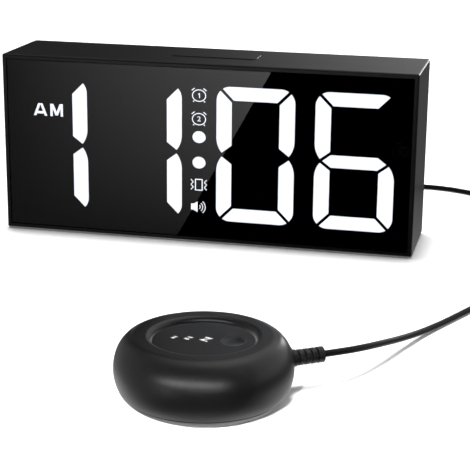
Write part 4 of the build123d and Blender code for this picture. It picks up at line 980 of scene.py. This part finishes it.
def softbox(name, place, aim, wide, high, power):
    """An area light at a place, turned towards its aim."""
    bpy.ops.object.light_add(type="AREA", location=place)
    lamp = bpy.context.object
    lamp.name = name
    lamp.rotation_euler = (Vector(aim) - Vector(place)).to_track_quat("-Z", "Y").to_euler()
    lamp.data.shape = "RECTANGLE"
    lamp.data.size, lamp.data.size_y, lamp.data.energy = wide, high, power
    print(name, power, "W")
    return lamp


key = softbox("key_light", place=(-0.12, 0.35, 3.0), aim=(0.0, 0.05, 0.0), wide=0.65, high=0.65, power=130)
beam = softbox("front_light", place=(0.06, -1.05, 0.5), aim=(0.05, -0.22, 0.0), wide=0.12, high=0.12,
               power=0.25)
beam.data.spread = BEAM_SPREAD
for lamp in (key, beam):
    lamp.visible_glossy = False
softbox("fill_light", place=(0.0, 0.2, 1.3), aim=(0.0, 0.0, 0.0), wide=1.5, high=1.2, power=3)

# %% Strips that light chosen pieces
def light_only(lamp, lit):
    """Links a lamp to the pieces that it may light."""
    receivers = bpy.data.collections.new(f"{lamp.name}_receivers")
    for piece in lit:
        receivers.objects.link(piece)
    lamp.light_linking.receiver_collection = receivers


shoulder = softbox("shoulder_light", place=(0.04, -0.976, 0.29), aim=(0.051, -0.105, 0.015), wide=1.5,
                   high=0.12, power=6.0)
light_only(shoulder, puck_pieces + [nodes["strain_relief"], cord, table])
bezel = softbox("bezel_light", place=(0.04, -1.0, 0.06), aim=(0.0, 0.0, 0.045), wide=1.5, high=0.06,
                power=0.9)
light_only(bezel, [nodes["front_housing"]])

# %% [markdown]
# ## World
# What no lamp lights mirrors the world, so the world is the rest of the studio: dark behind the clock's left
# and pale to the right, which makes the case's top fade from black to grey. Far to the left it is pale again,
# for the sides that face there. Under the horizon it is black towards the front, where the lens looks.
# Elsewhere it stands in for the pale table, so it grows brighter from the horizon down, and straight below it
# draws a thin line along the puck's foot. The camera itself sees white past the table's end, as a paper
# backdrop is. X runs to the right, Y to the rear and Z up, each from -1 to 1, and each change of brightness
# has its edges on one of them.

# %% World
SKY_DARK, SKY_PALE, SKY_EDGES = 0.03, 0.75, (-0.30, 0.06)
FRONT_SHARE, FRONT_EDGES = 0.1, (-0.4, 0.2)
LEFT_WALL, WALL_EDGES = 0.3, (-0.85, -0.45)
GROUND_NEAR, GROUND_FAR, GROUND_EDGES = 0.9, 0.13, (-0.40, -0.25)
GROUND_FRONT_EDGES = (-0.3, 0.4)
GROUND_BELOW, BELOW_EDGES = 0.75, (-0.9, -0.75)
HORIZON = (-0.02, 0.02)
MIX_NUMBERS, MIX_NUMBER_OUT = (2, 3), 0
WHITE = (1, 1, 1, 1)

world = bpy.data.worlds.new("studio")
bpy.context.scene.world = world
world.use_nodes = True
way = add_node(world, "ShaderNodeSeparateXYZ")
join(world, add_node(world, "ShaderNodeTexCoord").outputs["Generated"], way.inputs["Vector"])
right, back, above = (way.outputs[axis] for axis in "XYZ")
sky = combine(world, "MULTIPLY", spread(world, right, SKY_DARK, SKY_PALE, *SKY_EDGES, soft=True),
              spread(world, back, FRONT_SHARE, 1.0, *FRONT_EDGES))
table_glow = combine(world, "MULTIPLY", spread(world, back, 0.0, 1.0, *GROUND_FRONT_EDGES),
                     spread(world, above, GROUND_NEAR, GROUND_FAR, *GROUND_EDGES))
ground = combine(world, "ADD", table_glow, spread(world, above, GROUND_BELOW, 0.0, *BELOW_EDGES))
shade = add_node(world, "ShaderNodeMix")
join(world, spread(world, above, 0, 1, *HORIZON), shade.inputs[0])
for socket, part in zip(MIX_NUMBERS, (ground, sky)):
    join(world, part, shade.inputs[socket])
studio = combine(world, "ADD", shade.outputs[MIX_NUMBER_OUT],
                 spread(world, right, LEFT_WALL, 0.0, *WALL_EDGES, soft=True))
seen = add_node(world, "ShaderNodeLightPath").outputs["Is Camera Ray"]
background = world.node_tree.nodes["Background"]
join(world, combine(world, "MAXIMUM", studio, seen), background.inputs["Strength"])
set_sockets(background, Color=WHITE)
print("sky from", SKY_DARK, "to", SKY_PALE)

# %% [markdown]
# ## Cards
# The lens mirrors a large pale card with a slanted edge, so its left part is grey and its right part black.
# Where the card has to stand follows from the mirror: a ray from the camera to the lens goes on as if the
# lens turned its Y round. The card's corners are worked out in this way from the corners of the sheen.
# A second card behind the clock draws the bright line along its top edge. Only mirrored rays see them.

# %% Card for the sheen
CARD_Y = -0.5
LENS_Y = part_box("front_lens")[0].y
SHEEN_CORNERS = [(-0.110, -0.003), (-0.0169, -0.003), (0.0370, 0.095), (-0.110, 0.095)]
SHEEN_LOW, SHEEN_HIGH, SHEEN_LEFT = 0.14, 1.79, 0.03
BLACK = (0, 0, 0, 1)
# A plane's corners lie in two rows, and this is their order on the way round
PLANE_ROUND = (0, 1, 3, 2)


def mirrored(x, z):
    """Where a ray from the camera that meets the lens at x and z reaches the card."""
    point = Vector((x, LENS_Y, z))
    ray = point - camera.location
    return point + Vector((ray.x, -ray.y, ray.z)) * ((LENS_Y - CARD_Y) / ray.y)


def pale_card(name, corners, glow=0.0):
    """A glowing card with four corners, seen by mirrored rays alone, and its finish."""
    start_flat()
    bpy.ops.mesh.primitive_plane_add(size=1)
    card = bpy.context.object
    card.name = name
    for vertex, corner in zip(PLANE_ROUND, corners):
        card.data.vertices[vertex].co = corner
    finish, shader = new_finish(name, Base_Color=BLACK, Emission_Color=WHITE, Emission_Strength=glow)
    card.data.materials.append(finish)
    card.visible_camera = card.visible_diffuse = card.visible_shadow = card.visible_transmission = False
    print(name, "from", [round(v, 2) for v in corners[0]], "to", [round(v, 2) for v in corners[2]])
    return finish, shader


corners = [mirrored(*corner) for corner in SHEEN_CORNERS]
sheen, sheen_shader = pale_card("sheen_card", corners)
split = add_node(sheen, "ShaderNodeSeparateXYZ")
join(sheen, place_on_piece(sheen), split.inputs["Vector"])
fade = combine(sheen, "MULTIPLY",
               spread(sheen, split.outputs["X"], SHEEN_LEFT, 1, corners[0].x, corners[2].x),
               spread(sheen, split.outputs["Z"], 0, 1, corners[0].z, corners[2].z))
join(sheen, spread(sheen, fade, SHEEN_LOW, SHEEN_HIGH, 0, 1), sheen_shader.inputs["Emission Strength"])

# %% Card for the edge
RIM_CORNERS = [(0.22, 1.0, 0.08), (0.38, 1.0, 0.08), (0.38, 1.0, 0.26), (0.22, 1.0, 0.26)]
RIM_GLOW = 6.0
pale_card("rim_card", RIM_CORNERS, RIM_GLOW)

# %% [markdown]
# ## The end
# Blender gives finishes and never a new size. The picture keeps plain colours: white is white and black is
# black, as in a catalogue.

# %% Colours of the picture
bpy.context.scene.view_settings.view_transform = "Standard"
